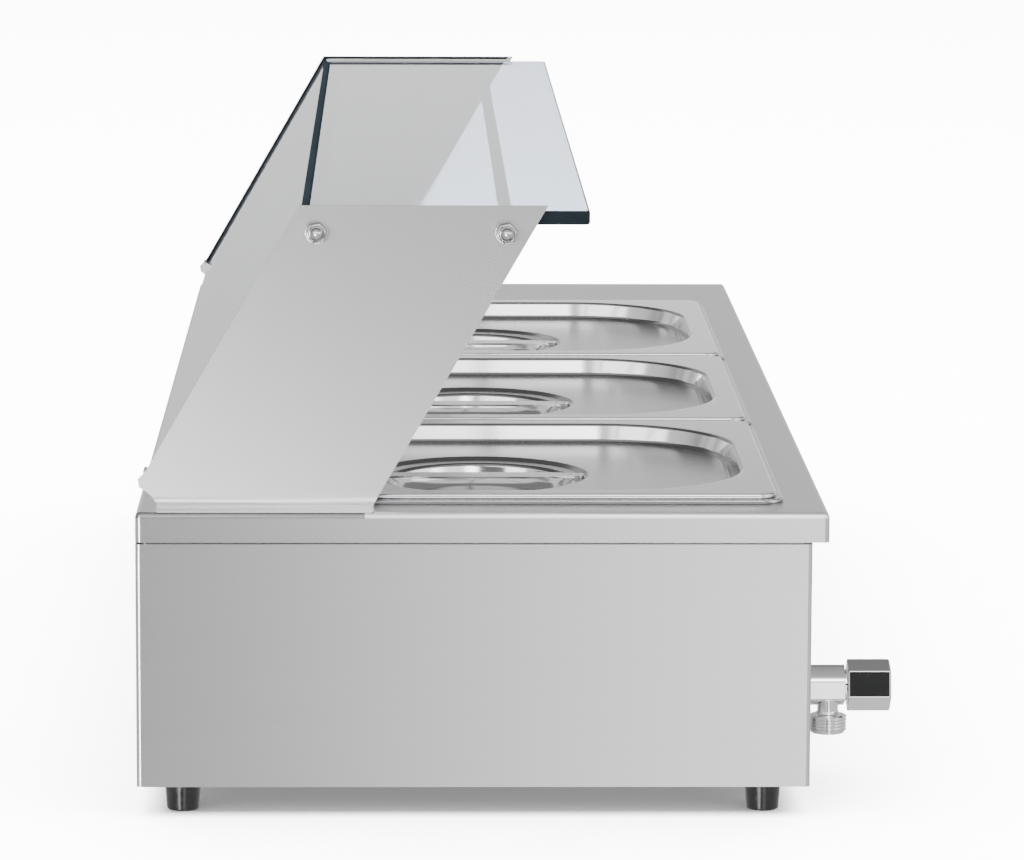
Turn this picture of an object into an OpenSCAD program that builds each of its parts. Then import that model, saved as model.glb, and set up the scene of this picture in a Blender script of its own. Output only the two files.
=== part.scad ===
// Countertop steam table: a heated water bath with lidded half-size food pans
// and a sneeze guard. X runs from the customer side (-) to the operator side (+),
// Y runs along the row of pans, Z is up and zero is the surface it stands on.

/* [Cabinet] */
// Width of the top plate
plate_w = 370; // [366:1:378]
// Length of the top plate
plate_l = 946; // [936:1:990]
// Height of the turned-down lip of the top plate
lip_h = 16; // [12:1:22]
// Overhang of the top plate on the operator side
overhang = 9; // [6:1:10]
// Height from the bottom of the cabinet to the top of the plate
cabinet_h = 149; // [147:1:170]
// Thickness of the cabinet and plate sheet
sheet = 1.2; // [1:0.1:1.5]

/* [Feet] */
// Height of a foot
foot_h = 17; // [15:1:30]
// Diameter of a foot where it meets the cabinet
foot_top_d = 21; // [19:0.5:24]
// Diameter of a foot on the table
foot_low_d = 17.5; // [15:0.5:19]
// Distance from the cabinet's sides to a foot's axis
foot_inset = 24; // [22:1:26]

/* [Pans] */
// Length of a half-size pan's flange, across the table
pan_w = 325; // [324:0.5:326]
// Width of a half-size pan's flange, along the table
pan_l = 265; // [264:0.5:266]
// Depth of a pan from flange to floor
pan_depth = 100; // [65:1:100]
// Distance from the plate's edge to the first pan
pan_margin = 27; // [24:1:30]
// Distance from one pan to the next
pan_pitch = 266; // [266:0.25:267]

/* [Lids] */
// Length of the sunken tray of a lid
tray_w = 291; // [285:0.5:291]
// Width of the sunken tray of a lid
tray_l = 231; // [225:0.5:231]
// Corner radius of the sunken tray
tray_r = 76; // [60:1:90]
// Depth of the tray below the lid's rim
tray_depth = 10.5; // [8:0.5:11]
// Radius of the round hand recess
recess_r = 62; // [55:0.5:64]
// Depth of the hand recess below the tray
recess_depth = 17; // [14:0.5:20]

/* [Guard] */
// Height of the side panels above the plate
guard_h = 162; // [155:1:170]
// Lean of the side panels and of the front glass from the vertical
guard_lean = 30; // [29:0.5:31]
// Thickness of the flat glass shelf
shelf_t = 7.5; // [6:0.5:7.5]
// Thickness of the slanted front glass
front_t = 6; // [5:0.5:6]

/* [Drain] */
// Height of the drain's axis below the plate
drain_drop = 108.7; // [108:0.1:110]
// Distance from the plate's edge to the drain's axis
drain_y = 75; // [70:1:120]
// Major radius of the drain outlet's half-inch pipe thread
outlet_r = 10.48; // [10.4:0.02:10.5]

/* [Controls] */
// Distance from the far wall of the cabinet to the controls
control_inset = 58; // [56:1:60]
// Radius of the temperature knob
knob_r = 18; // [15:0.5:19]

/* [Hidden] */
$fn = 64;

cabinet_w = plate_w - overhang;
plate_z = foot_h + cabinet_h;
gland_out = 18;
knob_end = 40;

// Overall box, used to put the origin at the middle of the footprint
mid_x = plate_w / 2 + (knob_end + plate_w) / 2 - plate_w;
mid_y = (plate_l + gland_out) / 2;

// Cabinet walls, measured from the middle of the plate
left_x = -plate_w / 2;
wall_x = left_x + cabinet_w;
right_x = plate_w / 2;
seam = 1;
wall_top = plate_z - lip_h - seam;
edge_r = 3;
corner_r = 2.5;
base_flange = 40;
base_lap = 12;
fine = 0.05;

// Pans and the hole they hang in
pans = 3;
pan_t = 0.8;
pan_seat = 0.3;
flange_up = 2.3;
body_inset = 10.5;
pan_corner = 30;
flange_corner = 12;
well_gap = 1.5;
well_w = pan_w - 2 * body_inset + 2 * well_gap;
well_y0 = pan_margin + body_inset - well_gap;
well_y1 = pan_margin + (pans - 1) * pan_pitch + pan_l - body_inset + well_gap;
tank_gap = 2;
tank_t = 1;
tank_floor = plate_z - 117;
tank_w = well_w + 2 * tank_gap;
tank_y0 = well_y0 - tank_gap;
tank_y1 = well_y1 + tank_gap;
tank_flange = 8;
rail_w = 16;
rail_h = 12;

// Lids
lid_w = pan_w - 7;
lid_l = pan_l - 7;
lid_t = 0.8;
lid_top = 5;
lid_skirt = 2.4;
lid_corner = 10;
step_w = 9;
step_drop = 1.5;
handle_w = 15;
handle_t = 1.3;
handle_grip = 38;
handle_reach = 59;

// Sneeze guard, measured from the plate's customer edge
tan_lean = tan(guard_lean);
panel_t = 1.2;
panel_set = 20;
bend_r = 4;
nose_x = 5;
nose_z = 19;
panel_top_w = 132;
rod_r = 3.5;
rod_end_r = 3;
rod_hole_r = 3.3;
shelf_top = guard_h - 3;
shelf_low = shelf_top - shelf_t;
shelf_x0 = nose_x + (guard_h - nose_z) * tan_lean + 4;
shelf_x1 = shelf_x0 + 150.5;
glass_gap = 0.5;
rod_xs = [shelf_x0 + 5, shelf_x0 + 106];
rod_z = plate_z + shelf_low - rod_r - 0.3;
washer_r = 6.4;
washer_t = 1;
cap_af = 10;
front_proud = 1;

// Drain
drain_z = plate_z - drain_drop;
gasket_t = 1;
valve_len = 24;
valve_r = 11.2;
valve_af = 20.9;
valve_turn = -6;
knob_af = 24.8;
knob_turn = 13;
valve_x0 = wall_x + gasket_t;
valve_x1 = valve_x0 + valve_len;
outlet_x = valve_x0 + 14;
knob_x0 = valve_x1 + 0.3;
knob_x1 = right_x + knob_end;
pipe_r = 7;
pipe_bore = 5.5;
outlet_bore = 4.5;
spout_depth = 15;
outlet_top = drain_z - 16.3;
outlet_low = drain_z - 26.3;
stem_r = 3;
run_gap = 0.06;

// Heating element
heat_r = 3.5;
heat_z = tank_floor + 7;
heat_bend = 35;
heat_near = tank_y0 + 60;
heat_far = tank_y1 - 57;
heat_tail = tank_y1 + 30;
bushing_r = 6;

// Control compartment
divider_y = tank_y1 + tank_t + tank_flange + 2;
control_y = plate_l - control_inset;
dial_z = plate_z - 62;
switch_z = plate_z - 113;
switch_y = control_y - 18;
lamp_y = control_y + 18;
lamp_zs = [plate_z - 106, plate_z - 121];
plate_face = wall_x + 0.8;
block_x = -60;
block_y = divider_y + 50;
gland_x = -100;
gland_z = foot_h + 32;
base_top = foot_h + 2 * sheet;
bulb_x = 135;

// ---- shared shapes ----

// Moves the model so that the middle of its footprint is the origin
module place() {
    translate([-mid_x, -mid_y, 0]) children();
}

// A box given by its low and high corners
module block(low, high) {
    translate(low) cube(high - low);
}

// A flat rectangle with true round corners, centred
module rounded_rect(w, l, r) {
    square([w - 2 * r, l], center = true);
    square([w, l - 2 * r], center = true);
    for (sx = [-1, 1], sy = [-1, 1])
        translate([sx * (w / 2 - r), sy * (l / 2 - r)]) circle(r);
}

// A slab with round corners, centred in plan, from z0 to z1
module slab(w, l, r, z0, z1) {
    translate([0, 0, z0]) linear_extrude(z1 - z0) rounded_rect(w, l, r);
}

// A round bar along X, Y or Z starting at a point
module bar_x(p, len, r) {
    translate(p) rotate([0, 90, 0]) cylinder(h = len, r = r);
}
module bar_y(p, len, r) {
    translate(p) rotate([-90, 0, 0]) cylinder(h = len, r = r);
}
module bar_z(p, len, r) {
    translate(p) cylinder(h = len, r = r);
}

// A six-sided bar of given width across its flats, standing on the origin
module hex(af, h) {
    cylinder(h = h, r = af / 2 / cos(30), $fn = 6);
}

// A box whose top edges and vertical corners are rounded by r
module soft_box(w, l, h, r) {
    slab(w, l, r, 0, h - r);
    slab(w - 2 * r, l - 2 * r, 0.01, 0, h);
    for (s = [-1, 1]) {
        bar_x([-w / 2 + r, s * (l / 2 - r), h - r], w - 2 * r, r);
        bar_y([s * (w / 2 - r), -l / 2 + r, h - r], l - 2 * r, r);
    }
    for (sx = [-1, 1], sy = [-1, 1])
        translate([sx * (w / 2 - r), sy * (l / 2 - r), h - r]) sphere(r);
}

// A thin eight-sided wire through a list of points, lapped a little at each elbow
module wire(points, r) {
    lap = r / 2;
    for (i = [0 : len(points) - 2]) {
        a = points[i];
        d = points[i + 1] - a;
        run = norm(d);
        start = i > 0 ? lap : 0;
        end = i < len(points) - 2 ? lap : 0;
        translate(a) rotate([0, acos(d[2] / run), atan2(d[1], d[0])])
            translate([0, 0, -start]) cylinder(h = run + start + end, r = r, $fn = 8);
    }
}

// ---- cabinet ----

// Outer wrap: four walls, a joggled upstand inside the lip, an inward bottom flange
module cabinet_shell() {
    mid = (left_x + wall_x) / 2;
    tuck = 3;
    color("silver") place() translate([mid, plate_l / 2, 0]) difference() {
        union() {
            slab(cabinet_w, plate_l, corner_r, foot_h, wall_top);
            slab(cabinet_w - 2 * tuck, plate_l - 2 * tuck, corner_r, wall_top, plate_z - sheet);
        }
        slab(cabinet_w - 2 * sheet, plate_l - 2 * sheet, corner_r - sheet,
             foot_h + sheet, wall_top - sheet);
        slab(cabinet_w - 2 * tuck - 2 * sheet, plate_l - 2 * tuck - 2 * sheet, corner_r - sheet,
             wall_top - 2 * sheet, plate_z + 1);
        slab(cabinet_w - 2 * base_flange, plate_l - 2 * base_flange, 4, 0, foot_h + 2 * sheet);
        translate([-mid, -plate_l / 2, 0]) cabinet_holes();
    }
}

// Everything that passes through the walls or the bottom flange
module cabinet_holes() {
    bar_x([wall_x - 10, drain_y, drain_z], 20, pipe_r + fine);
    bar_x([wall_x - 10, control_y, dial_z], 20, 4.2);
    block([wall_x - 10, switch_y - 6.6, switch_z - 9.6], [wall_x + 10, switch_y + 6.6, switch_z + 9.6]);
    for (z = lamp_zs) bar_x([wall_x - 10, lamp_y, z], 20, 4);
    bar_y([gland_x, plate_l - 10, gland_z], 20, 8 + fine);
    for (p = foot_spots()) bar_z([p[0], p[1], 0], foot_h + 10, 2.6);
    for (p = base_spots()) bar_z([p[0], p[1], 0], foot_h + 10, 2.1);
}

function foot_spots() = [
    for (x = [left_x + foot_inset, wall_x - foot_inset], y = [foot_inset, plate_l - foot_inset]) [x, y]
];

function base_spots() = let (edge = base_flange - base_lap / 2) [
    for (x = [left_x + edge, wall_x - edge], y = [plate_l * 0.2, plate_l / 2, plate_l * 0.8]) [x, y]
];

// Removable bottom cover, held up against the flange from inside
module base_panel() {
    mid = (left_x + wall_x) / 2;
    w = cabinet_w - 2 * base_flange + 2 * base_lap;
    l = plate_l - 2 * base_flange + 2 * base_lap;
    color("gainsboro") place() difference() {
        translate([mid, plate_l / 2, 0]) slab(w, l, 4, foot_h + sheet, base_top);
        for (p = base_spots()) bar_z([p[0], p[1], 0], foot_h + 10, 2.1);
        for (i = [0 : 7]) block([-60, divider_y + 22 + i * 9, 0], [20, divider_y + 25 + i * 9, base_top + 1]);
    }
}

// Top plate with its turned-down lip and the well that the pans hang in
module top_plate() {
    color("lightgray") place() difference() {
        translate([0, plate_l / 2, plate_z - lip_h]) difference() {
            soft_box(plate_w, plate_l, lip_h, edge_r);
            translate([0, 0, -1])
                soft_box(plate_w - 2 * sheet, plate_l - 2 * sheet, lip_h - sheet + 1, edge_r - sheet);
        }
        translate([0, (well_y0 + well_y1) / 2, 0])
            slab(well_w, well_y1 - well_y0, 12, plate_z - 5, plate_z + 5);
        for (p = stud_spots()) bar_z([p[0], p[1], plate_z - 5], 10, 2 + fine);
    }
}

function stud_spots() = [
    for (x = [left_x + 25, left_x + 105], y = [panel_set / 2 - 1, plate_l - panel_set / 2 + 1]) [x, y]
];

// Deep-drawn water tank welded under the plate
module water_tank() {
    mid_well = (well_y0 + well_y1) / 2;
    l = tank_y1 - tank_y0;
    color("silver") place() difference() {
        translate([0, mid_well, 0]) difference() {
            union() {
                slab(tank_w + 2 * tank_t, l + 2 * tank_t, 14, tank_floor - tank_t, plate_z - sheet);
                slab(tank_w + 2 * tank_flange, l + 2 * tank_flange, 14,
                     plate_z - sheet - tank_t, plate_z - sheet);
            }
            slab(tank_w, l, 13, tank_floor, plate_z + 1);
        }
        bar_x([tank_w / 2 - 5, drain_y, drain_z], 20, pipe_r);
        for (x = [-3, 3] * heat_bend) bar_y([x, tank_y1 - 5, heat_z], 20, bushing_r);
        bar_y([bulb_x, tank_y1 - 5, heat_z], 20, 4);
    }
}

// Cross rail between two pans: an inverted channel flush with the plate
module pan_rail(i) {
    y = pan_margin + i * pan_pitch - (pan_pitch - pan_l) / 2;
    color("silver") place() difference() {
        block([-well_w / 2, y - rail_w / 2, plate_z - rail_h], [well_w / 2, y + rail_w / 2, plate_z]);
        block([-well_w, y - rail_w / 2 + sheet, 0], [well_w, y + rail_w / 2 - sheet, plate_z - sheet]);
    }
}

// Wall between the tank and the control compartment, with a foot flange
module compartment_divider() {
    x0 = left_x + 8;
    x1 = wall_x - 8;
    color("gainsboro") place() difference() {
        union() {
            block([x0, divider_y, base_top], [x1, divider_y + sheet, plate_z - 20]);
            block([x0 + 40, divider_y, base_top], [x1 - 40, divider_y + 14, base_top + sheet]);
        }
        for (x = [-3, 3] * heat_bend) bar_y([x, divider_y - 5, heat_z], 12, 9);
        bar_y([bulb_x, divider_y - 5, heat_z], 12, 3);
    }
}

// ---- feet and screws ----

// Tapered rubber foot with a recess for its screw head
module foot(i) {
    p = foot_spots()[i - 1];
    color("black") place() translate([p[0], p[1], 0]) difference() {
        union() {
            cylinder(h = foot_h - 2, r1 = foot_low_d / 2, r2 = foot_top_d / 2);
            bar_z([0, 0, foot_h - 2], 2, foot_top_d / 2);
        }
        bar_z([0, 0, -1], 8, 5);
        bar_z([0, 0, -1], foot_h + 2, 2.6);
    }
}

// Pan-head screw pointing up from its head, with a nut on top of a stack
module screw_up(r, head_r, head_h, len, nut_z) {
    bar_z([0, 0, 0], head_h, head_r);
    bar_z([0, 0, 0], head_h + len, r);
    translate([0, 0, nut_z]) hex(2 * head_r, 3);
}

// One screw and nut for each foot
module foot_screws() {
    head_z = 7 - 3;
    for (p = foot_spots())
        color("silver") place() translate([p[0], p[1], head_z])
            screw_up(2.5, 4.5, 3, 16, foot_h + sheet - head_z);
}

// Screws and nuts that hold the base panel
module base_screws() {
    head_h = 2.4;
    for (p = base_spots())
        color("silver") place() translate([p[0], p[1], foot_h - head_h])
            screw_up(2, 4, head_h, 8, head_h + 2 * sheet);
}

// ---- heating ----

// Tubular element bent into four legs on the tank floor
module heating_element() {
    color("dimgray") place() {
        for (s = [-1, 1]) {
            bar_y([s * 3 * heat_bend, heat_near, heat_z], heat_tail - heat_near, heat_r);
            bar_y([s * heat_bend, heat_near, heat_z], heat_far - heat_near, heat_r);
            translate([s * 2 * heat_bend, heat_near, heat_z])
                rotate([0, 0, 180]) rotate_extrude(angle = 180) translate([heat_bend, 0]) circle(heat_r);
        }
        translate([0, heat_far, heat_z])
            rotate_extrude(angle = 180) translate([heat_bend, 0]) circle(heat_r);
    }
}

// Threaded brass bushing and nut where each leg leaves the tank
module element_bushings() {
    for (x = [-3, 3] * heat_bend)
        color("goldenrod") place() difference() {
            union() {
                bar_y([x, tank_y1, heat_z], 8, bushing_r);
                translate([x, tank_y1 + tank_t, heat_z]) rotate([-90, 0, 0]) hex(16, 5);
            }
            bar_y([x, tank_y1 - 5, heat_z], 30, heat_r);
        }
}

// Ceramic bead and push-on tab at each end of the element
module element_terminals() {
    for (x = [-3, 3] * heat_bend)
        color("ivory") place() {
            bar_y([x, heat_tail, heat_z], 6, heat_r);
            bar_y([x, heat_tail + 6, heat_z], 5, 1.6);
            block([x - 3.2, heat_tail + 10, heat_z - 0.4], [x + 3.2, heat_tail + 19, heat_z + 0.4]);
        }
}

// Snap-disc cut-out clamped under the tank
module overheat_cutout() {
    color("dimgray") place() translate([60, tank_y1 - 60, tank_floor - tank_t]) mirror([0, 0, 1]) {
        bar_z([0, 0, 0], 2, 12);
        bar_z([0, 0, 2], 9, 8);
        for (s = [-1, 1]) block([s * 4 - 0.4, -3.2, 11], [s * 4 + 0.4, 3.2, 16]);
    }
}

// ---- controls ----

// Thermostat body behind the operator wall
module thermostat_body() {
    x1 = wall_x - sheet;
    color("dimgray") place() difference() {
        union() {
            block([x1 - 30, control_y - 22, dial_z - 18], [x1 - 1, control_y + 22, dial_z + 18]);
            bar_x([x1 - 1, control_y, dial_z], 1, 12);
        }
        bar_x([x1 - 12, control_y, dial_z], 20, stem_r + run_gap);
    }
}

// Thermostat spindle, turned by the knob
module thermostat_shaft() {
    x1 = wall_x - sheet;
    color("silver") place() bar_x([x1 - 11, control_y, dial_z], 11 + sheet + 12, stem_r);
}

// Temperature knob with a skirt, a grip and a pointer ridge
module thermostat_knob() {
    x0 = plate_face + 0.5;
    color("black") place() difference() {
        union() {
            bar_x([x0, control_y, dial_z], 3, knob_r + 2);
            bar_x([x0 + 3, control_y, dial_z], 14, knob_r - 2);
            block([x0 + 3, control_y - 3, dial_z], [x0 + 18.5, control_y + 3, dial_z + knob_r + 0.5]);
        }
        bar_x([x0 - 1, control_y, dial_z], wall_x + 12 - x0 + 1, stem_r);
    }
}

// Temperature bulb in the tank and its capillary to the thermostat
module thermostat_bulb() {
    y_out = tank_y1 + 26;
    color("peru") place() {
        bar_y([bulb_x, tank_y1 - 110, heat_z], 85, 3);
        wire([[bulb_x, tank_y1 - 25, heat_z], [bulb_x, y_out, heat_z], [bulb_x + 14, y_out, heat_z + 24],
              [bulb_x + 14, control_y - 22, heat_z + 38]], 1);
    }
}

// Compression gland that seals the capillary in the tank wall
module bulb_gland() {
    color("goldenrod") place() difference() {
        union() {
            bar_y([bulb_x, tank_y1, heat_z], 8, 4);
            translate([bulb_x, tank_y1 + tank_t, heat_z]) rotate([-90, 0, 0]) hex(11, 5);
        }
        bar_y([bulb_x, tank_y1 - 5, heat_z], 30, 1);
    }
}

// Rocker switch housing with a bezel and a pocket for the rocker
module switch_housing() {
    color("black") place() difference() {
        union() {
            block([plate_face, switch_y - 7.6, switch_z - 10.6],
                  [plate_face + 2, switch_y + 7.6, switch_z + 10.6]);
            block([wall_x - 16, switch_y - 6.5, switch_z - 9.5], [plate_face + 1, switch_y + 6.5, switch_z + 9.5]);
        }
        block([wall_x - 4, switch_y - 5.4, switch_z - 8.6], [plate_face + 5, switch_y + 5.4, switch_z + 8.6]);
    }
}

// Rocker on its two pivot pins, shown in its off position
module switch_rocker() {
    half = 7.6;
    color("red") place() translate([plate_face + 1, switch_y, switch_z]) {
        rotate([90, 0, 0]) translate([0, 0, -5]) linear_extrude(10)
            polygon([[-2.2, -4], [-2.2, 4], [0.8, half], [2.9, half], [1.6, 0], [0.4, -half], [-1.7, -half]]);
        bar_y([0, -5.3, 0], 10.6, 1.2);
    }
}

// Round lens lamp: a stepped lens outside, its body behind the wall
module lamp(z, shade) {
    color(shade) place() {
        bar_x([wall_x - 14, lamp_y, z], plate_face - wall_x + 14, 3.9);
        bar_x([plate_face, lamp_y, z], 1.5, 5.5);
        translate([plate_face + 1.5, lamp_y, z]) rotate([0, 90, 0]) cylinder(h = 2, r1 = 4.8, r2 = 3);
    }
}

// Thin trim plate behind the knob, switch and lamps
module control_plate() {
    color("dimgray") place() difference() {
        translate([wall_x, control_y, plate_z - 84]) rotate([90, 0, 90]) slab(84, 104, 5, 0, plate_face - wall_x);
        cabinet_holes();
    }
}

// Screw terminal block for the incoming supply
module terminal_block() {
    color("ivory") place() difference() {
        union() {
            block([block_x, block_y, base_top], [block_x + 40, block_y + 22, base_top + 8]);
            block([block_x, block_y + 5, base_top + 8], [block_x + 40, block_y + 17, base_top + 18]);
        }
        for (i = [0 : 2]) {
            x = block_x + 8 + i * 12;
            bar_z([x, block_y + 11, base_top + 12], 10, 2.6);
            bar_y([x, block_y - 1, base_top + 13], 30, 1.8);
        }
    }
}

// Wires between the terminal block, switch, thermostat and element
module wiring_loom() {
    r = 1.5;
    tb_z = base_top + 13;
    out_y = heat_tail + 19;
    x_switch = wall_x - 16;
    x_stat = wall_x - sheet - 30;
    far_y = block_y + 40;
    color("saddlebrown") place() {
        wire([[block_x + 32, block_y + 17, tb_z], [block_x + 32, far_y, tb_z], [x_switch - 10, far_y, tb_z],
              [x_switch - 10, switch_y - 3, tb_z + 6], [x_switch, switch_y - 3, tb_z + 6]], r);
        wire([[x_switch, switch_y + 4, switch_z + 6], [x_switch - 24, switch_y + 4, switch_z + 6],
              [x_switch - 24, control_y, dial_z - 8], [x_stat, control_y, dial_z - 8]], r);
        wire([[x_stat, control_y - 10, dial_z + 8], [3 * heat_bend, control_y - 10, dial_z + 8],
              [3 * heat_bend, out_y + 8, heat_z + 12], [3 * heat_bend, out_y + 8, heat_z],
              [3 * heat_bend, out_y, heat_z]], r);
        wire([[block_x + 8, block_y + 5, tb_z], [block_x + 8, block_y - 6, tb_z],
              [-3 * heat_bend, out_y + 8, tb_z], [-3 * heat_bend, out_y + 8, heat_z],
              [-3 * heat_bend, out_y, heat_z]], r);
    }
}

// Cable gland for the supply cord, in the far wall
module cord_gland() {
    color("black") place() difference() {
        union() {
            bar_y([gland_x, plate_l - 12, gland_z], 13, 8);
            translate([gland_x, plate_l, gland_z]) rotate([-90, 0, 0]) hex(20, 6);
            bar_y([gland_x, plate_l + 6, gland_z], gland_out - 8, 9);
            translate([gland_x, plate_l + gland_out - 2, gland_z]) rotate([-90, 0, 0])
                cylinder(h = 2, r1 = 9, r2 = 6.5);
        }
        bar_y([gland_x, plate_l - 20, gland_z], 60, 4);
    }
}

// Nut that clamps the gland from inside
module gland_locknut() {
    color("black") place() translate([gland_x, plate_l - sheet - 4, gland_z]) rotate([-90, 0, 0])
        difference() {
            hex(21, 4);
            bar_z([0, 0, -1], 6, 8);
        }
}

// ---- drain ----

// Pipe stub welded into the tank and passed through the cabinet wall
module drain_pipe() {
    x0 = tank_w / 2 - 1;
    color("silver") place() difference() {
        bar_x([x0, drain_y, drain_z], valve_x0 + 8 - x0, pipe_r);
        bar_x([x0 - 1, drain_y, drain_z], 80, pipe_bore);
    }
}

// Nut on the pipe, inside the cabinet wall
module drain_locknut() {
    color("goldenrod") place() translate([wall_x - sheet - 5, drain_y, drain_z]) rotate([0, 90, 0])
        difference() {
            hex(20, 5);
            bar_z([0, 0, -1], 8, pipe_r);
        }
}

// Flat seal between the wall and the valve
module drain_gasket() {
    color("dimgray") place() difference() {
        bar_x([wall_x, drain_y, drain_z], gasket_t, valve_r - 0.7);
        bar_x([wall_x - 1, drain_y, drain_z], 5, pipe_r);
    }
}

// Angle valve: a hexagonal body with a downward threaded outlet, its bore stepped to stop a spout
module valve_body() {
    color("silver") place() difference() {
        union() {
            translate([valve_x0, drain_y, drain_z]) rotate([-valve_turn, 0, 0]) rotate([0, 90, 0]) hex(valve_af, valve_len);
            bar_z([outlet_x, drain_y, outlet_low], drain_z - outlet_low, 6.6);
            bar_z([outlet_x, drain_y, outlet_low], outlet_top - outlet_low, outlet_r);
        }
        bar_x([valve_x0 - 1, drain_y, drain_z], 9, pipe_r);
        bar_x([valve_x0, drain_y, drain_z], 18, pipe_bore + 0.7);
        bar_x([valve_x0 + 10, drain_y, drain_z], 30, stem_r + run_gap);
        bar_z([outlet_x, drain_y, outlet_low - 1], spout_depth + 1, outlet_bore);
        bar_z([outlet_x, drain_y, outlet_low], drain_z - outlet_low, outlet_bore - 0.7);
    }
}

// Spindle with a shut-off disc, turned by the hexagonal knob
module valve_stem() {
    color("goldenrod") place() {
        bar_x([valve_x0 + 15, drain_y, drain_z], knob_x1 - valve_x0 - 15 - 6, stem_r);
        bar_x([valve_x0 + 15, drain_y, drain_z], 2.6, pipe_bore + 0.4);
    }
}

// Hexagonal knob, one flat turned a little up from the end of the table
module valve_knob() {
    len = knob_x1 - knob_x0;
    color("silver") place() translate([knob_x0, drain_y, drain_z]) rotate([-knob_turn, 0, 0]) rotate([0, 90, 0])
        difference() {
            intersection() {
                hex(knob_af, len);
                union() {
                    bar_z([0, 0, 0], len - 1.2, knob_af);
                    translate([0, 0, len - 1.2]) cylinder(h = 1.2, r1 = knob_af * 0.58, r2 = knob_af * 0.53);
                }
            }
            bar_z([0, 0, -1], len - 5, stem_r);
        }
}

// ---- pans and lids ----

function pan_y(i) = pan_margin + (i - 1) * pan_pitch + pan_l / 2;

// Half-size food pan: flange with a turned-down rim, straight body with round corners
module pan(i) {
    top = plate_z + flange_up;
    w = pan_w - 2 * body_inset;
    l = pan_l - 2 * body_inset;
    color("silver") place() translate([0, pan_y(i), 0]) difference() {
        union() {
            difference() {
                slab(pan_w, pan_l, flange_corner, plate_z + pan_seat, top);
                slab(pan_w - 2 * pan_t, pan_l - 2 * pan_t, flange_corner - pan_t, plate_z, top - pan_t);
            }
            slab(w, l, pan_corner, top - pan_depth - pan_t, top);
        }
        slab(w - 2 * pan_t, l - 2 * pan_t, pan_corner - pan_t, top - pan_depth, top + 1);
    }
}

// Half profile of the hand recess: a step, then a shallow bowl
function recess_curve(low) = let (bowl_r = recess_r - step_w, n = 10) [
    [recess_r + 4, low],
    [recess_r, low],
    [recess_r - step_drop, low - step_drop],
    for (i = [0 : n])
        [bowl_r * cos(90 * i / n), low - step_drop - (recess_depth - step_drop) * sin(90 * i / n)]
];

// Pressed lid: rim with a skirt, sunken tray, round hand recess
module lid(i) {
    rim = plate_z + lid_top;
    floor_z = rim - tray_depth;
    top = recess_curve(floor_z);
    under = recess_curve(floor_z - lid_t);
    color("lightgray") place() translate([0, pan_y(i), 0]) {
        difference() {
            union() {
                slab(lid_w, lid_l, lid_corner, rim - lid_skirt, rim);
                slab(tray_w, tray_l, tray_r, floor_z - lid_t, rim);
            }
            difference() {
                slab(lid_w - 2 * lid_t, lid_l - 2 * lid_t, lid_corner - lid_t, rim - lid_skirt - 1, rim - lid_t);
                slab(tray_w, tray_l, tray_r, floor_z - 5, rim);
            }
            slab(tray_w - 2 * lid_t, tray_l - 2 * lid_t, tray_r - lid_t, floor_z, rim + 1);
            bar_z([0, 0, floor_z - 5], 10, recess_r + 3);
        }
        rotate_extrude($fn = 96)
            polygon(concat(top, [for (k = [len(under) - 1 : -1 : 0]) under[k]]));
    }
}

// Strap handle: a straight grip with a tapered tab at each end
module lid_handle(i) {
    low = plate_z + lid_top - tray_depth - step_drop;
    half = handle_w / 2;
    tab = 4;
    color("silver") place() translate([0, pan_y(i), low]) linear_extrude(handle_t)
        polygon([[-handle_reach, -tab], [-handle_grip, -half], [handle_grip, -half], [handle_reach, -tab],
                 [handle_reach, tab], [handle_grip, half], [-handle_grip, half], [-handle_reach, tab]]);
}

// ---- sneeze guard ----

// Outline of a side panel in X and Z, from the customer edge of the plate
function panel_outline() = let (
    top_x = nose_x + (guard_h - nose_z) * tan_lean,
    rear_x = top_x + panel_top_w
) [
    [12, 0],
    [rear_x - guard_h * tan_lean, 0],
    [rear_x, guard_h],
    [top_x, guard_h],
    [nose_x, nose_z],
    [0.7, 14.7],
    [1.4, 10.4],
    [5, 8.2],
    [8, 5.7]
];

// Upright sheet bent outward into a foot flange, trimmed to its outline, with holes for the tie rods
module side_panel(far) {
    out = panel_t + bend_r;
    color("lightgray") place() translate([left_x, far ? plate_l : 0, plate_z]) mirror([0, far ? 1 : 0, 0])
        difference() {
            intersection() {
                union() {
                    block([0, panel_set, out], [240, panel_set + panel_t, guard_h]);
                    block([0, 0.6, 0], [240, panel_set + panel_t - out, panel_t]);
                    translate([0, panel_set + panel_t - out, out]) intersection() {
                        difference() {
                            bar_x([0, 0, 0], 240, out);
                            bar_x([-1, 0, 0], 242, bend_r);
                        }
                        block([0, 0, -out], [240, out, 0]);
                    }
                }
                translate([0, 40, 0]) rotate([90, 0, 0]) linear_extrude(60) polygon(panel_outline());
            }
            for (x = rod_xs) bar_y([x, panel_set - 5, rod_z - plate_z], 10, rod_hole_r);
        }
}

// Weld studs under each foot flange, with a nut under the plate
module panel_studs() {
    for (p = stud_spots())
        color("silver") place() translate([p[0], p[1], 0]) {
            bar_z([0, 0, plate_z - sheet - 5], sheet + 5, 2);
            translate([0, 0, plate_z - sheet - 3.2]) hex(7, 3.2);
        }
}

// Flat glass shelf with round corners between the panels
module shelf_glass() {
    l = plate_l - 2 * (panel_set + panel_t + glass_gap);
    color("lightsteelblue", 0.5) place()
        translate([left_x + (shelf_x0 + shelf_x1) / 2, plate_l / 2, plate_z])
            slab(shelf_x1 - shelf_x0, l, 4, shelf_low, shelf_top);
}

// Slanted front glass between the panels
module front_glass() {
    l = plate_l - 2 * (panel_set + panel_t + glass_gap);
    len = (guard_h - nose_z - 1.5) / cos(guard_lean);
    color("lightsteelblue", 0.5) place()
        translate([left_x + nose_x, plate_l / 2 - l / 2, plate_z + nose_z]) rotate([0, guard_lean, 0])
            translate([-front_proud, 0, 0]) cube([front_t, l, len]);
}

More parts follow.
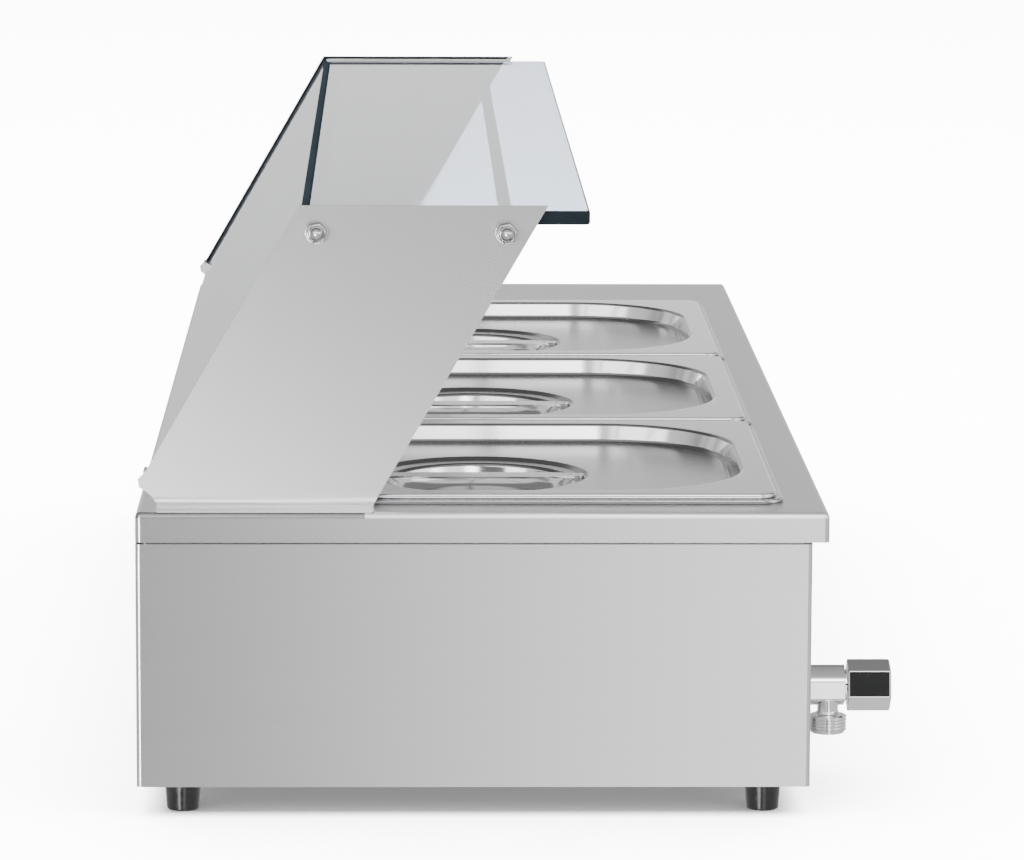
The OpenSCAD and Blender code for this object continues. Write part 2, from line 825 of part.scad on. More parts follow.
// Stainless seats that carry the front glass at its lower corners
module glass_seats() {
    for (far = [false, true])
        color("silver") place() translate([left_x, far ? plate_l : 0, plate_z]) mirror([0, far ? 1 : 0, 0])
            translate([nose_x, panel_set + panel_t, nose_z]) rotate([0, guard_lean, 0]) {
                block([-front_proud, 0, -1.5], [front_t, 14, 0]);
                block([front_t + 0.2, 0, -1.5], [front_t + 1.2, 14, 10]);
                block([front_t - 0.1, 0, -1.5], [front_t + 0.3, 14, -0.2]);
            }
}

// Tie rod under the shelf, shouldered at both panels
module tie_rod(x) {
    y0 = panel_set + panel_t;
    color("silver") place() {
        bar_y([left_x + x, y0, rod_z], plate_l - 2 * y0, rod_r);
        bar_y([left_x + x, panel_set - washer_t - 6, rod_z], plate_l - 2 * (panel_set - washer_t - 6), rod_end_r);
    }
}

// Domed nuts on the ends of the tie rods
module cap_nuts() {
    bore = 6;
    for (x = rod_xs, far = [false, true])
        color("silver") place() translate([left_x + x, far ? plate_l : 0, rod_z]) mirror([0, far ? 1 : 0, 0])
            translate([0, panel_set - washer_t, 0]) rotate([90, 0, 0]) difference() {
                union() {
                    hex(cap_af, 5);
                    bar_z([0, 0, 0], 6.5, 4.7);
                    translate([0, 0, 6.5]) sphere(4.7);
                }
                bar_z([0, 0, -1], bore + 1, rod_end_r);
            }
}

// Flat washers under the domed nuts
module cap_washers() {
    for (x = rod_xs, far = [false, true])
        color("silver") place() translate([left_x + x, far ? plate_l : 0, rod_z]) mirror([0, far ? 1 : 0, 0])
            difference() {
                bar_y([0, panel_set - washer_t, 0], washer_t, washer_r);
                bar_y([0, 0, 0], 30, rod_end_r);
            }
}

// Clear sleeves on the rods that the glass shelf rests on
module rod_sleeves() {
    for (x = rod_xs, y = [120, plate_l - 130])
        color("white") place() difference() {
            bar_y([left_x + x, y, rod_z], 10, rod_r + 0.3);
            bar_y([left_x + x, y - 1, rod_z], 12, rod_r);
        }
}

cabinet_shell();
base_panel();
top_plate();
water_tank();
pan_rail(1);  // pan_rail_1
pan_rail(2);  // pan_rail_2
compartment_divider();
heating_element();
element_bushings();
element_terminals();
thermostat_body();
thermostat_shaft();
thermostat_knob();
thermostat_bulb();
bulb_gland();
overheat_cutout();
switch_housing();
switch_rocker();
lamp(lamp_zs[0], "orange");  // power_lamp
lamp(lamp_zs[1], "green");  // heat_lamp
control_plate();
terminal_block();
wiring_loom();
cord_gland();
gland_locknut();
foot(1);  // foot_1
foot(2);  // foot_2
foot(3);  // foot_3
foot(4);  // foot_4
foot_screws();
base_screws();
drain_pipe();
drain_locknut();
drain_gasket();
valve_body();
valve_stem();
valve_knob();
pan(1);  // pan_1
pan(2);  // pan_2
pan(3);  // pan_3
lid(1);  // lid_1
lid(2);  // lid_2
lid(3);  // lid_3
lid_handle(1);  // lid_handle_1
lid_handle(2);  // lid_handle_2
lid_handle(3);  // lid_handle_3
side_panel(false);  // side_panel_near
side_panel(true);  // side_panel_far
shelf_glass();
front_glass();
tie_rod(rod_xs[0]);  // tie_rod_front
tie_rod(rod_xs[1]);  // tie_rod_rear
cap_nuts();
cap_washers();
rod_sleeves();
glass_seats();
panel_studs();
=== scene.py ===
import math

import bmesh
import bpy
from bpy.props import FloatProperty, FloatVectorProperty, IntProperty, PointerProperty
from mathutils import Matrix, Vector


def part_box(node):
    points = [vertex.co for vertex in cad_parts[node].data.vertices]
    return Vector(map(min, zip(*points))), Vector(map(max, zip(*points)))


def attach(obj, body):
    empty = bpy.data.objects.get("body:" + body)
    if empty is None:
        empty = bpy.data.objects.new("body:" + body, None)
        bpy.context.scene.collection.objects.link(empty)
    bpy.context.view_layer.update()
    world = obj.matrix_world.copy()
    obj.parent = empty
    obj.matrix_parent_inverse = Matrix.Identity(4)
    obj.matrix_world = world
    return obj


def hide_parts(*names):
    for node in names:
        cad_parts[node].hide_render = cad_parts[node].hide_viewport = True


bl_info = {
    "name": "Steam Table",
    "version": (1, 0, 0),
    "blender": (4, 5, 0),
    "location": "3D View > Sidebar > Steam Table",
    "description": "Builds the visible pieces of a countertop steam table around its packed frame",
    "category": "Object",
}

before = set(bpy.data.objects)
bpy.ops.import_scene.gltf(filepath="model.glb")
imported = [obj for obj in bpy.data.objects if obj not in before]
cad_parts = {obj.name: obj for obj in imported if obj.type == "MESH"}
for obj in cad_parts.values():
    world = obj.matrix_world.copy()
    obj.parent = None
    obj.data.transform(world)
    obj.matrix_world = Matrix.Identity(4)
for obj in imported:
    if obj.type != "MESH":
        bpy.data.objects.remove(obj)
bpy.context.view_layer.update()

MM = 0.001
TABLE = "table"
LEAN = math.radians(30)  # the front glass leans this far towards the operator
TINY = 1e-6
LID_ARC = 40  # steps in each corner arc of a lid
FRONT_GLASS = 4.5 * MM  # thickness of the slanted glass
NUT_TURN = math.radians(12)
HEX_KNOB_TURN = math.radians(-13)
THREAD_PITCH = 1.814 * MM  # half-inch pipe thread
TOP_LIGHT_GAIN = 1250  # watts of the overhead light for each unit of its setting


# ---- places taken from the frame ----

def low(node):
    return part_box(node)[0]


def high(node):
    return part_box(node)[1]


def middle(node):
    a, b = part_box(node)
    return [(p + q) / 2 for p, q in zip(a, b)]


def span(node):
    a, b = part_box(node)
    return [q - p for p, q in zip(a, b)]


# ---- mesh helpers ----

def rounded_loop(cx, cy, w, l, r, z, arc=10):
    """Points round a rectangle with round corners, anticlockwise from above."""
    points = []
    r = max(r, TINY)
    for k, (sx, sy) in enumerate(((1, 1), (-1, 1), (-1, -1), (1, -1))):
        for i in range(arc + 1):
            a = math.pi / 2 * (k + i / arc)
            x = cx + sx * (w / 2 - r) + r * math.cos(a)
            y = cy + sy * (l / 2 - r) + r * math.sin(a)
            points.append((x, y, z))
    return points


def rounded_path(points, radii, steps=6):
    """A flat path whose inner corners are replaced by arcs of the given radii."""
    path = [points[0]]
    for i in range(1, len(points) - 1):
        p, a, b = Vector(points[i]), Vector(points[i - 1]), Vector(points[i + 1])
        r = radii[i - 1]
        u, v = (a - p).normalized(), (b - p).normalized()
        angle = u.angle(v)
        if r <= 0 or angle > math.pi - 1e-3:
            path.append(tuple(p))
            continue
        reach = min(r / math.tan(angle / 2), (a - p).length * 0.499, (b - p).length * 0.499)
        r = reach * math.tan(angle / 2)
        centre = p + (u + v).normalized() * (r / math.sin(angle / 2))
        start, end = p + u * reach - centre, p + v * reach - centre
        turn = start.angle_signed(end)
        for k in range(steps + 1):
            q = start.copy()
            q.rotate(Matrix.Rotation(-turn * k / steps, 2))
            path.append(tuple(centre + q))
    path.append(points[-1])
    return path


def loft(bm, loops, ring=False, cap_start=False, cap_end=False):
    """Faces between closed loops that have the same number of points."""
    rows = [[bm.verts.new(p) for p in loop] for loop in loops]
    n = len(rows[0])
    pairs = list(zip(rows, rows[1:]))
    if ring:
        pairs.append((rows[-1], rows[0]))
    for a, b in pairs:
        for i in range(n):
            j = (i + 1) % n
            bm.faces.new((a[i], a[j], b[j], b[i]))
    if cap_start:
        bm.faces.new(list(reversed(rows[0])))
    if cap_end:
        bm.faces.new(rows[-1])


def circle(r, h, place, steps):
    """Points round a circle of radius r at height h, set in the frame by place."""
    return [place @ Vector((r * math.cos(2 * math.pi * i / steps), r * math.sin(2 * math.pi * i / steps), h))
            for i in range(steps)]


def turned(bm, profile, place, steps):
    """A turned solid with closed ends: profile holds (radius, height) pairs."""
    loft(bm, [circle(r, h, place, steps) for r, h in profile], cap_start=True, cap_end=True)


def turned_ring(bm, profile, place, steps):
    """A turned ring whose closed outline is given as (radius, height) pairs."""
    loft(bm, [circle(r, h, place, steps) for r, h in profile], ring=True)


def slab(bm, outline, height, place):
    """A flat outline raised by height, set in the frame by place."""
    lower = [bm.verts.new(place @ Vector((x, y, 0))) for x, y in outline]
    upper = [bm.verts.new(place @ Vector((x, y, height))) for x, y in outline]
    n = len(outline)
    bm.faces.new(list(reversed(lower)))
    bm.faces.new(upper)
    for i in range(n):
        j = (i + 1) % n
        bm.faces.new((lower[i], lower[j], upper[j], upper[i]))


def hex_outline(across_flats, turn=0.0):
    r = across_flats / 2 / math.cos(math.pi / 6)
    return [(r * math.cos(turn + math.pi / 3 * i), r * math.sin(turn + math.pi / 3 * i)) for i in range(6)]


def along(axis, at):
    """A frame whose Z runs along X, -X, Y, -Y, Z or -Z, standing at a point."""
    turns = {
        "+X": Matrix.Rotation(math.pi / 2, 4, "Y"),
        "-X": Matrix.Rotation(-math.pi / 2, 4, "Y"),
        "+Y": Matrix.Rotation(-math.pi / 2, 4, "X"),
        "-Y": Matrix.Rotation(math.pi / 2, 4, "X"),
        "+Z": Matrix.Identity(4),
        "-Z": Matrix.Rotation(math.pi, 4, "X"),
    }
    return Matrix.Translation(at) @ turns[axis]


def finish_piece(name, bm, body, replaced, materials, bevel=0.0, bevel_steps=2, crease=35):
    """Turns a mesh under construction into a piece that rides on a body."""
    bmesh.ops.remove_doubles(bm, verts=bm.verts, dist=TINY)
    bmesh.ops.dissolve_degenerate(bm, dist=TINY, edges=bm.edges)
    bmesh.ops.recalc_face_normals(bm, faces=bm.faces)
    mesh = bpy.data.meshes.new(name)
    bm.to_mesh(mesh)
    bm.free()
    for finish in materials:
        mesh.materials.append(finish)
    piece = bpy.data.objects.new(name, mesh)
    bpy.context.scene.collection.objects.link(piece)
    smooth_edges(piece, bevel, bevel_steps, crease)
    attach(piece, body)
    if replaced:
        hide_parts(*replaced)
    return piece


def smooth_edges(piece, bevel=0.0, bevel_steps=2, crease=35):
    """Rounds the sharp edges a little and shades flat faces flat and round ones round."""
    for polygon in piece.data.polygons:
        polygon.use_smooth = True
    if bevel > 0:
        rounding = piece.modifiers.new("edge_rounding", "BEVEL")
        rounding.width = bevel
        rounding.segments = bevel_steps
        rounding.limit_method = "ANGLE"
        rounding.angle_limit = math.radians(crease)
        rounding.harden_normals = False
    weights = piece.modifiers.new("face_weights", "WEIGHTED_NORMAL")
    weights.keep_sharp = False
    weights.weight = 100


# ---- materials ----

def node_of(tree, kind, **values):
    node = tree.nodes.new(kind)
    for key, value in values.items():
        setattr(node, key, value)
    return node


def stretched_noise(tree, stretch, scale, detail=4.0, roughness=0.55):
    """Noise in the piece's own coordinates, drawn out along one axis."""
    coords = node_of(tree, "ShaderNodeTexCoord")
    mapping = node_of(tree, "ShaderNodeMapping")
    mapping.inputs["Scale"].default_value = stretch
    noise = node_of(tree, "ShaderNodeTexNoise")
    noise.inputs["Scale"].default_value = scale
    noise.inputs["Detail"].default_value = detail
    noise.inputs["Roughness"].default_value = roughness
    tree.links.new(coords.outputs["Object"], mapping.inputs["Vector"])
    tree.links.new(mapping.outputs["Vector"], noise.inputs["Vector"])
    return noise.outputs["Fac"]


def surface(name, colour, metallic=0.0, rough=0.4, stretch=(1, 1, 1), scale=200.0, shade=0.06,
            rough_swing=0.05, bump=0.0, bump_scale=None, cloud=0.0, sockets=(), grain=None):
    """A procedural material: fine noise in colour and roughness, a bump, and broad clouding.

    grain holds the axis the brushing runs round, the turn of its highlight and its strength.
    """
    made = bpy.data.materials.new(name)
    made.use_nodes = True
    tree = made.node_tree
    tree.nodes.clear()
    output = node_of(tree, "ShaderNodeOutputMaterial")
    shader = node_of(tree, "ShaderNodeBsdfPrincipled")
    tree.links.new(shader.outputs["BSDF"], output.inputs["Surface"])
    shader.inputs["Metallic"].default_value = metallic
    for socket, value in sockets:
        shader.inputs[socket].default_value = value

    fine = stretched_noise(tree, stretch, scale)
    ramp = node_of(tree, "ShaderNodeValToRGB")
    ramp.color_ramp.elements[0].position = 0.3
    ramp.color_ramp.elements[1].position = 0.7
    ramp.color_ramp.elements[0].color = [c * (1 - shade) for c in colour[:3]] + [1.0]
    ramp.color_ramp.elements[1].color = [min(1.0, c * (1 + shade)) for c in colour[:3]] + [1.0]
    tree.links.new(fine, ramp.inputs["Fac"])
    colour_out = ramp.outputs["Color"]
    if cloud > 0:
        broad = stretched_noise(tree, (1, 1, 1), 9.0, detail=2.0)
        mix = node_of(tree, "ShaderNodeMix", data_type="RGBA", blend_type="MULTIPLY")
        tint = node_of(tree, "ShaderNodeMapRange")
        tint.inputs["From Min"].default_value = 0.3
        tint.inputs["From Max"].default_value = 0.7
        tint.inputs["To Min"].default_value = 1 - cloud
        tint.inputs["To Max"].default_value = 1.0
        tree.links.new(broad, tint.inputs["Value"])
        mix.inputs["Factor"].default_value = 1.0
        tree.links.new(colour_out, mix.inputs["A"])
        tree.links.new(tint.outputs["Result"], mix.inputs["B"])
        colour_out = mix.outputs["Result"]
    tree.links.new(colour_out, shader.inputs["Base Color"])

    swing = node_of(tree, "ShaderNodeMapRange")
    swing.inputs["From Min"].default_value = 0.25
    swing.inputs["From Max"].default_value = 0.75
    swing.inputs["To Min"].default_value = max(0.0, rough - rough_swing)
    swing.inputs["To Max"].default_value = min(1.0, rough + rough_swing)
    tree.links.new(fine, swing.inputs["Value"])
    tree.links.new(swing.outputs["Result"], shader.inputs["Roughness"])

    if grain is not None:
        axis, turn, strength = grain
        tangent = node_of(tree, "ShaderNodeTangent", direction_type="RADIAL", axis=axis)
        tree.links.new(tangent.outputs["Tangent"], shader.inputs["Tangent"])
        shader.inputs["Anisotropic"].default_value = strength
        shader.inputs["Anisotropic Rotation"].default_value = turn
    if bump > 0:
        relief = fine if bump_scale is None else stretched_noise(tree, stretch, bump_scale)
        raised = node_of(tree, "ShaderNodeBump")
        raised.inputs["Strength"].default_value = bump
        raised.inputs["Distance"].default_value = 0.0002
        tree.links.new(relief, raised.inputs["Height"])
        tree.links.new(raised.outputs["Normal"], shader.inputs["Normal"])
    return made


MADE = {}


def material(name):
    """One material of each name, made when it is first asked for."""
    if name not in MADE:
        MADE[name] = RECIPES[name]()
    return MADE[name]


def settings():
    return bpy.context.scene.steam_table


def brushed(name, stretch, grain, rough=None, tone=1.0, relief=1.0):
    """Brushed steel; tone scales its colour and relief the depth of its lines."""
    s = settings()
    colour = [c * tone for c in s.steel_colour]
    return surface(name, colour, metallic=1.0, rough=rough or s.steel_roughness, stretch=stretch,
                   scale=12.0, shade=0.015, rough_swing=0.012 * relief, bump=s.grain_strength * relief,
                   cloud=0.02, grain=grain)


def make_glass_face():
    return surface("guard_glass_face", settings().glass_colour, rough=0.015, scale=4.0, shade=0.02,
                   rough_swing=0.01, sockets=(("Transmission Weight", 1.0), ("IOR", 1.5)))


RECIPES = {
    "steel_body": lambda: brushed("steel_body", (1, 1, 120), ("Z", 0.25, 0.93), rough=0.30),
    "steel_plate": lambda: brushed("steel_plate", (120, 1, 120), ("Y", 0.0, 0.7)),
    "steel_panel": lambda: brushed("steel_panel", (60, 1, 35), ("Z", 150 / 360, 0.95), rough=0.27,
                                   tone=0.71, relief=0.0),
    # The far panel's copy of the panel steel, toned for how light reaches it: painted shade
    "steel_panel_far_painted_shade": lambda: brushed("steel_panel_far_painted_shade", (60, 1, 35), ("Z", 150 / 360, 0.5), rough=0.30,
                                       tone=0.9, relief=0.0),
    # Darker and lighter copies of the body steel: a painted shade and a painted highlight on the plate's
    # rounded edge and the panels' foot flanges
    "fold_painted_shade": lambda: brushed("fold_painted_shade", (1, 1, 120), ("Z", 0.25, 0.9), tone=0.5),
    "fold_painted_highlight": lambda: brushed("fold_painted_highlight", (1, 1, 120), ("Z", 0.25, 0.9), tone=1.55),
    # Dark steel for the lids' tray creases and the pans' rim edges: painted shade lines
    "painted_shade_line": lambda: surface("painted_shade_line", (0.26, 0.26, 0.265), metallic=1.0, rough=0.20, scale=160.0,
                                shade=0.03, rough_swing=0.03, bump=0.02, cloud=0.03),
    # A darker copy of the lid steel for the sunken floors: painted shade
    "lid_floor_painted_shade": lambda: surface("lid_floor_painted_shade", (0.61, 0.61, 0.62), metallic=1.0, rough=0.24, scale=160.0,
                                 shade=0.01, rough_swing=0.01, cloud=0.03),
    "nut_steel": lambda: surface("nut_steel", (0.50, 0.50, 0.51), metallic=1.0, rough=0.10, scale=160.0,
                                 shade=0.03, rough_swing=0.03, bump=0.01, cloud=0.03),
    "cut_edge": lambda: surface("cut_edge", (0.16, 0.16, 0.165), metallic=1.0, rough=0.45, scale=300.0,
                                shade=0.2, rough_swing=0.1, bump=0.05),
    "steel_plain": lambda: surface("steel_plain", (0.5, 0.5, 0.51), metallic=1.0, rough=0.34, scale=90.0,
                                   shade=0.08, rough_swing=0.08, bump=0.05, cloud=0.08),
    "pan_steel": lambda: surface("pan_steel", (0.62, 0.62, 0.63), metallic=1.0, rough=0.22, scale=120.0,
                                 shade=0.03, rough_swing=0.04, bump=0.03, cloud=0.04),
    "lid_steel": lambda: surface("lid_steel", (0.71, 0.71, 0.72), metallic=1.0, rough=0.13, scale=160.0,
                                 shade=0.01, rough_swing=0.01, cloud=0.03),
    "chrome": lambda: surface("chrome", (0.80, 0.80, 0.81), metallic=1.0, rough=0.05, scale=80.0,
                              shade=0.02, rough_swing=0.02, bump=0.01, cloud=0.03),
    "glass_face": make_glass_face,
    "glass_edge": lambda: surface("guard_glass_edge", settings().glass_edge_colour, rough=0.35, scale=30.0,
                                  stretch=(1, 0.2, 3), shade=0.18, rough_swing=0.05, cloud=0.15,
                                  sockets=(("Specular IOR Level", 0.0),)),
    # Near black for the far panel's edges and the glass ends: painted shade
    "painted_shade_black": lambda: surface("painted_shade_black", (0.004, 0.0044, 0.0048), rough=0.5, scale=300.0, shade=0.15,
                                 rough_swing=0.06, bump=0.05, sockets=(("Specular IOR Level", 0.0),)),
    "rubber": lambda: surface("rubber", (0.003, 0.003, 0.0032), rough=0.22, scale=300.0, shade=0.2,
                              rough_swing=0.06, bump=0.04, cloud=0.2),
    "black_plastic": lambda: surface("black_plastic", (0.005, 0.005, 0.0055), rough=0.34, scale=500.0,
                                     shade=0.15, rough_swing=0.06, bump=0.08, cloud=0.1),
    "white_mark": lambda: surface("white_mark", (0.85, 0.85, 0.83), rough=0.5, scale=300.0, shade=0.04,
                                  bump=0.02),
    "trim_grey": lambda: surface("trim_grey", (0.10, 0.105, 0.11), metallic=0.6, rough=0.4,
                                 stretch=(1, 1, 30), scale=80.0, shade=0.06, rough_swing=0.05, bump=0.05),
    "rocker_red": lambda: surface("rocker_red", (0.45, 0.012, 0.01), rough=0.28, scale=400.0, shade=0.08,
                                  rough_swing=0.05, bump=0.03, cloud=0.06,
                                  sockets=(("Coat Weight", 0.3), ("Coat Roughness", 0.1))),
    "lamp_amber": lambda: surface("lamp_amber", (0.80, 0.26, 0.02), rough=0.15, scale=200.0, shade=0.12,
                                  rough_swing=0.04, cloud=0.1,
                                  sockets=(("Coat Weight", 0.5), ("Coat Roughness", 0.04))),
    "lamp_green": lambda: surface("lamp_green", (0.02, 0.38, 0.08), rough=0.15, scale=200.0, shade=0.12,
                                  rough_swing=0.04, cloud=0.1,
                                  sockets=(("Coat Weight", 0.5), ("Coat Roughness", 0.04))),
    "brass": lambda: surface("brass", (0.62, 0.43, 0.16), metallic=1.0, rough=0.25, scale=120.0, shade=0.08,
                             rough_swing=0.07, bump=0.04, cloud=0.12),
    "copper": lambda: surface("copper", (0.60, 0.28, 0.15), metallic=1.0, rough=0.28, scale=120.0,
                              shade=0.1, rough_swing=0.07, bump=0.04, cloud=0.15),
    "element_sheath": lambda: surface("element_sheath", (0.20, 0.19, 0.185), metallic=1.0, rough=0.42,
                                      scale=70.0, shade=0.15, rough_swing=0.1, bump=0.06, cloud=0.3),
    "ceramic": lambda: surface("ceramic", (0.80, 0.77, 0.68), rough=0.3, scale=90.0, shade=0.04,
                               rough_swing=0.05, bump=0.02, cloud=0.06),
    "cream_plastic": lambda: surface("cream_plastic", (0.72, 0.69, 0.58), rough=0.45, scale=300.0,
                                     shade=0.04, rough_swing=0.05, bump=0.05, cloud=0.05),
    "wire_sleeve": lambda: surface("wire_sleeve", (0.28, 0.10, 0.04), rough=0.6, scale=900.0, shade=0.2,
                                   rough_swing=0.1, bump=0.15, cloud=0.1),
    "gasket": lambda: surface("gasket", (0.01, 0.01, 0.01), rough=0.7, scale=400.0, shade=0.15,
                              rough_swing=0.08, bump=0.08, cloud=0.1),
    "clear_silicone": lambda: surface("clear_silicone", (0.75, 0.78, 0.80), rough=0.25, scale=200.0,
                                      shade=0.04, rough_swing=0.05, bump=0.02,
                                      sockets=(("Alpha", 0.55),)),
    "floor_paint": lambda: surface("floor_paint", settings().floor_colour, rough=0.55, scale=30.0,
                                   shade=0.006, rough_swing=0.05),
}

# CAD nodes whose shapes stay as they are: node, material, edge rounding in metres
CARRIED = {
    "cabinet_shell": ("steel_body", 0.0),
    "side_panel_near": ("steel_panel", 0.00025),
    # the far panel takes a toned copy of the panel steel: painted shade
    "side_panel_far": ("steel_panel_far_painted_shade", 0.00025),
    "base_panel": ("steel_plain", 0.0002),
    "water_tank": ("steel_plain", 0.0),
    "pan_rail_1": ("steel_plain", 0.0003),
    "pan_rail_2": ("steel_plain", 0.0003),
    "compartment_divider": ("steel_plain", 0.0),
    "heating_element": ("element_sheath", 0.0),
    "element_bushings": ("brass", 0.0002),
    "element_terminals": ("ceramic", 0.0002),
    "thermostat_body": ("black_plastic", 0.0005),
    "thermostat_shaft": ("steel_plain", 0.0002),
    "thermostat_bulb": ("copper", 0.0),
    "bulb_gland": ("brass", 0.0002),
    "overheat_cutout": ("black_plastic", 0.0003),
    "terminal_block": ("cream_plastic", 0.0004),
    "wiring_loom": ("wire_sleeve", 0.0002),
    "gland_locknut": ("black_plastic", 0.0003),
    "foot_screws": ("steel_plain", 0.0003),
    "base_screws": ("steel_plain", 0.0003),
    "drain_pipe": ("steel_plain", 0.0002),
    "drain_locknut": ("brass", 0.0003),
    "drain_gasket": ("gasket", 0.0),
    "valve_stem": ("brass", 0.0002),
    "tie_rod_front": ("steel_plain", 0.0),
    "tie_rod_rear": ("steel_plain", 0.0),
    "rod_sleeves": ("clear_silicone", 0.0),
    "glass_seats": ("steel_plain", 0.0002),
    "panel_studs": ("steel_plain", 0.0002),
}


class SteamTableSettings(bpy.types.PropertyGroup):
    """Sizes and colours of the visible pieces."""

    edge_radius: FloatProperty(
        name="Plate edge radius", description="Outside radius of the plate's folded edge",
        default=3 * MM, unit="LENGTH")
    sheet: FloatProperty(
        name="Plate sheet", description="Thickness of the plate's sheet", default=1.2 * MM, unit="LENGTH")
    pressed_sheet: FloatProperty(
        name="Pressed sheet", description="Thickness of the pans' and lids' sheet",
        default=0.8 * MM, unit="LENGTH")
    tray_corner: FloatProperty(
        name="Tray corner radius", description="Corner radius of a lid's sunken tray",
        default=76 * MM, unit="LENGTH")
    recess_radius: FloatProperty(
        name="Recess radius", description="Radius of a lid's round hand recess",
        default=62 * MM, unit="LENGTH")
    knob_ribs: IntProperty(
        name="Knob ribs", description="Grip ribs round the temperature knob", default=28)
    steel_colour: FloatVectorProperty(
        name="Steel colour", description="Base colour of the brushed sheet", subtype="COLOR",
        default=(0.60, 0.60, 0.605))
    steel_roughness: FloatProperty(
        name="Steel roughness", description="Roughness of the brushed sheet",
        default=0.36, subtype="FACTOR")
    grain_strength: FloatProperty(
        name="Grain strength", description="Depth of the brushing lines", default=0.03, subtype="FACTOR")
    glass_colour: FloatVectorProperty(
        name="Glass colour", description="Tint of light that passes the glass", subtype="COLOR",
        default=(0.34, 0.41, 0.52))
    glass_edge_colour: FloatVectorProperty(
        name="Glass edge colour", description="Colour of the ground glass edges", subtype="COLOR",
        default=(0.0030, 0.0042, 0.0052))
    floor_colour: FloatVectorProperty(
        name="Floor colour", description="Colour of the studio floor", subtype="COLOR",
        default=(0.90, 0.90, 0.90))
    key_power: FloatProperty(
        name="Key light", description="Power of the large overhead light", default=10.0, unit="POWER")
    world_strength: FloatProperty(
        name="Surround light", description="Strength of the soft surround", default=1.0)


# ---- pieces ----

def foot_end_x():
    """Where the near panel's foot flange ends towards the operator."""
    flange_top = high("top_plate")[2] + 4 * MM
    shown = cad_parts["side_panel_near"]
    places = [shown.matrix_world @ v.co for v in shown.data.vertices]
    return max(p.x for p in places if p.z < flange_top)


def plate_piece():
    """The plate: its turned-down lip outside, the pan well inside."""
    s = settings()
    a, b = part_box("top_plate")
    cx, cy, _ = middle("top_plate")
    w, l, _ = span("top_plate")
    tank_lo, tank_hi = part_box("water_tank")
    well_w = span("pan_rail_1")[0]
    flange_gap = 10 * MM
    well_l = tank_hi[1] - tank_lo[1] - 2 * flange_gap
    well_cx, well_cy = middle("pan_rail_1")[0], (tank_lo[1] + tank_hi[1]) / 2
    t, r = s.sheet, s.edge_radius
    border = 12 * MM
    well_corner = 12 * MM
    outer = rounded_path([(0, a[2]), (0, b[2]), (border, b[2])], [r], 8)
    inner = rounded_path([(border, b[2] - t), (t, b[2] - t), (t, a[2])], [r - t], 6)
    loops = []

    def outside(o, z):
        return rounded_loop(cx, cy, w - 2 * o, l - 2 * o, max(r - o, 0.3 * MM), z)

    def well(o, z):
        return rounded_loop(well_cx, well_cy, well_w - 2 * o, well_l - 2 * o, well_corner, z)

    for o, z in outer:
        loops.append(outside(o, z))
    edge = 0.4 * MM
    loops.append(well(-edge, b[2]))
    loops.append(well(0, b[2] - edge))
    loops.append(well(0, b[2] - t))
    for o, z in inner:
        loops.append(outside(o, z))
    bm = bmesh.new()
    loft(bm, loops, ring=True)
    # Along its rounded front and back edges the plate is painted: a darker steel under the side panels' feet
    # (painted shade), a lighter one beyond them towards the operator (painted highlight)
    foot_end = foot_end_x() - 6 * MM
    lip_slot, painted_shade_slot, painted_highlight_slot = 1, 2, 3
    level = 0.999
    bmesh.ops.bisect_plane(bm, geom=bm.verts[:] + bm.edges[:] + bm.faces[:], dist=TINY,
                           plane_co=(foot_end, 0, 0), plane_no=(1, 0, 0))
    bm.normal_update()
    for face in bm.faces:
        at = face.calc_center_median()
        at_edge = min(at.y - a[1], b[1] - at.y) < r and at.z > b[2] - 1.1 * r
        if abs(face.normal.z) < 0.25 and at.z < b[2] - r:
            face.material_index = lip_slot
        elif at_edge and abs(face.normal.z) < level:
            face.material_index = painted_shade_slot if at.x < foot_end else painted_highlight_slot
    finish_piece("plate_top", bm, TABLE, ["top_plate"],
                 [material("steel_plate"), material("steel_body"), material("fold_painted_shade"),
                  material("fold_painted_highlight")])


def pan_piece(i):
    """A pan: rolled rim on the plate, body hanging through the well."""
    s = settings()
    node = f"pan_{i}"
    a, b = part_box(node)
    cx, cy, _ = middle(node)
    w, l, _ = span(node)
    t = s.pressed_sheet
    rim_r = 12 * MM
    inset = 10.5 * MM
    body_r = 30 * MM
    draft = 5 * MM
    rim_in = 6 * MM
    floor_in = 30 * MM

    def rim(o, z):
        return rounded_loop(cx, cy, w - 2 * o, l - 2 * o, max(rim_r - o, 2 * MM), z)

    def body(o, z):
        return rounded_loop(cx, cy, w - 2 * inset - 2 * o, l - 2 * inset - 2 * o, body_r - o, z)

    top, floor = b[2], a[2] + t
    seat = high("top_plate")[2] + 0.1 * MM
    out = rounded_path([(0, seat), (0, top), (rim_in, top)], [1.6 * MM])
    back = rounded_path([(rim_in, top - t), (t, top - t), (t, seat)], [0.8 * MM])
    inside = rounded_path([(-3 * MM, top), (t, top), (t + draft, floor), (t + draft + floor_in, floor)],
                          [2.2 * MM, 14 * MM], 8)
    under = rounded_path([(draft + floor_in, a[2]), (draft, a[2]), (0, top - t), (-3 * MM, top - t)],
                         [14.8 * MM, 3 * MM], 8)

    def centre(z):
        return rounded_loop(cx, cy, 2 * MM, 2 * MM, 1 * MM, z)

    loops = [rim(o, z) for o, z in out] + [body(o, z) for o, z in inside[1:]]
    loops.append(centre(floor))
    bm = bmesh.new()
    under_loops = [centre(a[2])] + [body(o, z) for o, z in under[:-1]]
    under_loops += [rim(o, z) for o, z in back]
    loft(bm, under_loops + loops, cap_start=True, cap_end=True)
    bm.normal_update()
    # The rim's outer faces take the dark crease steel: a painted shade line between the rim and the plate.
    for face in bm.faces:
        at = face.calc_center_median()
        outward = min(at.x - a[0], b[0] - at.x, at.y - a[1], b[1] - at.y) < 1 * MM
        face.material_index = 1 if outward and abs(face.normal.z) < 0.5 else 0
    finish_piece(f"pan_shell_{i}", bm, f"pan_{i}_body", [node],
                 [material("pan_steel"), material("painted_shade_line")])


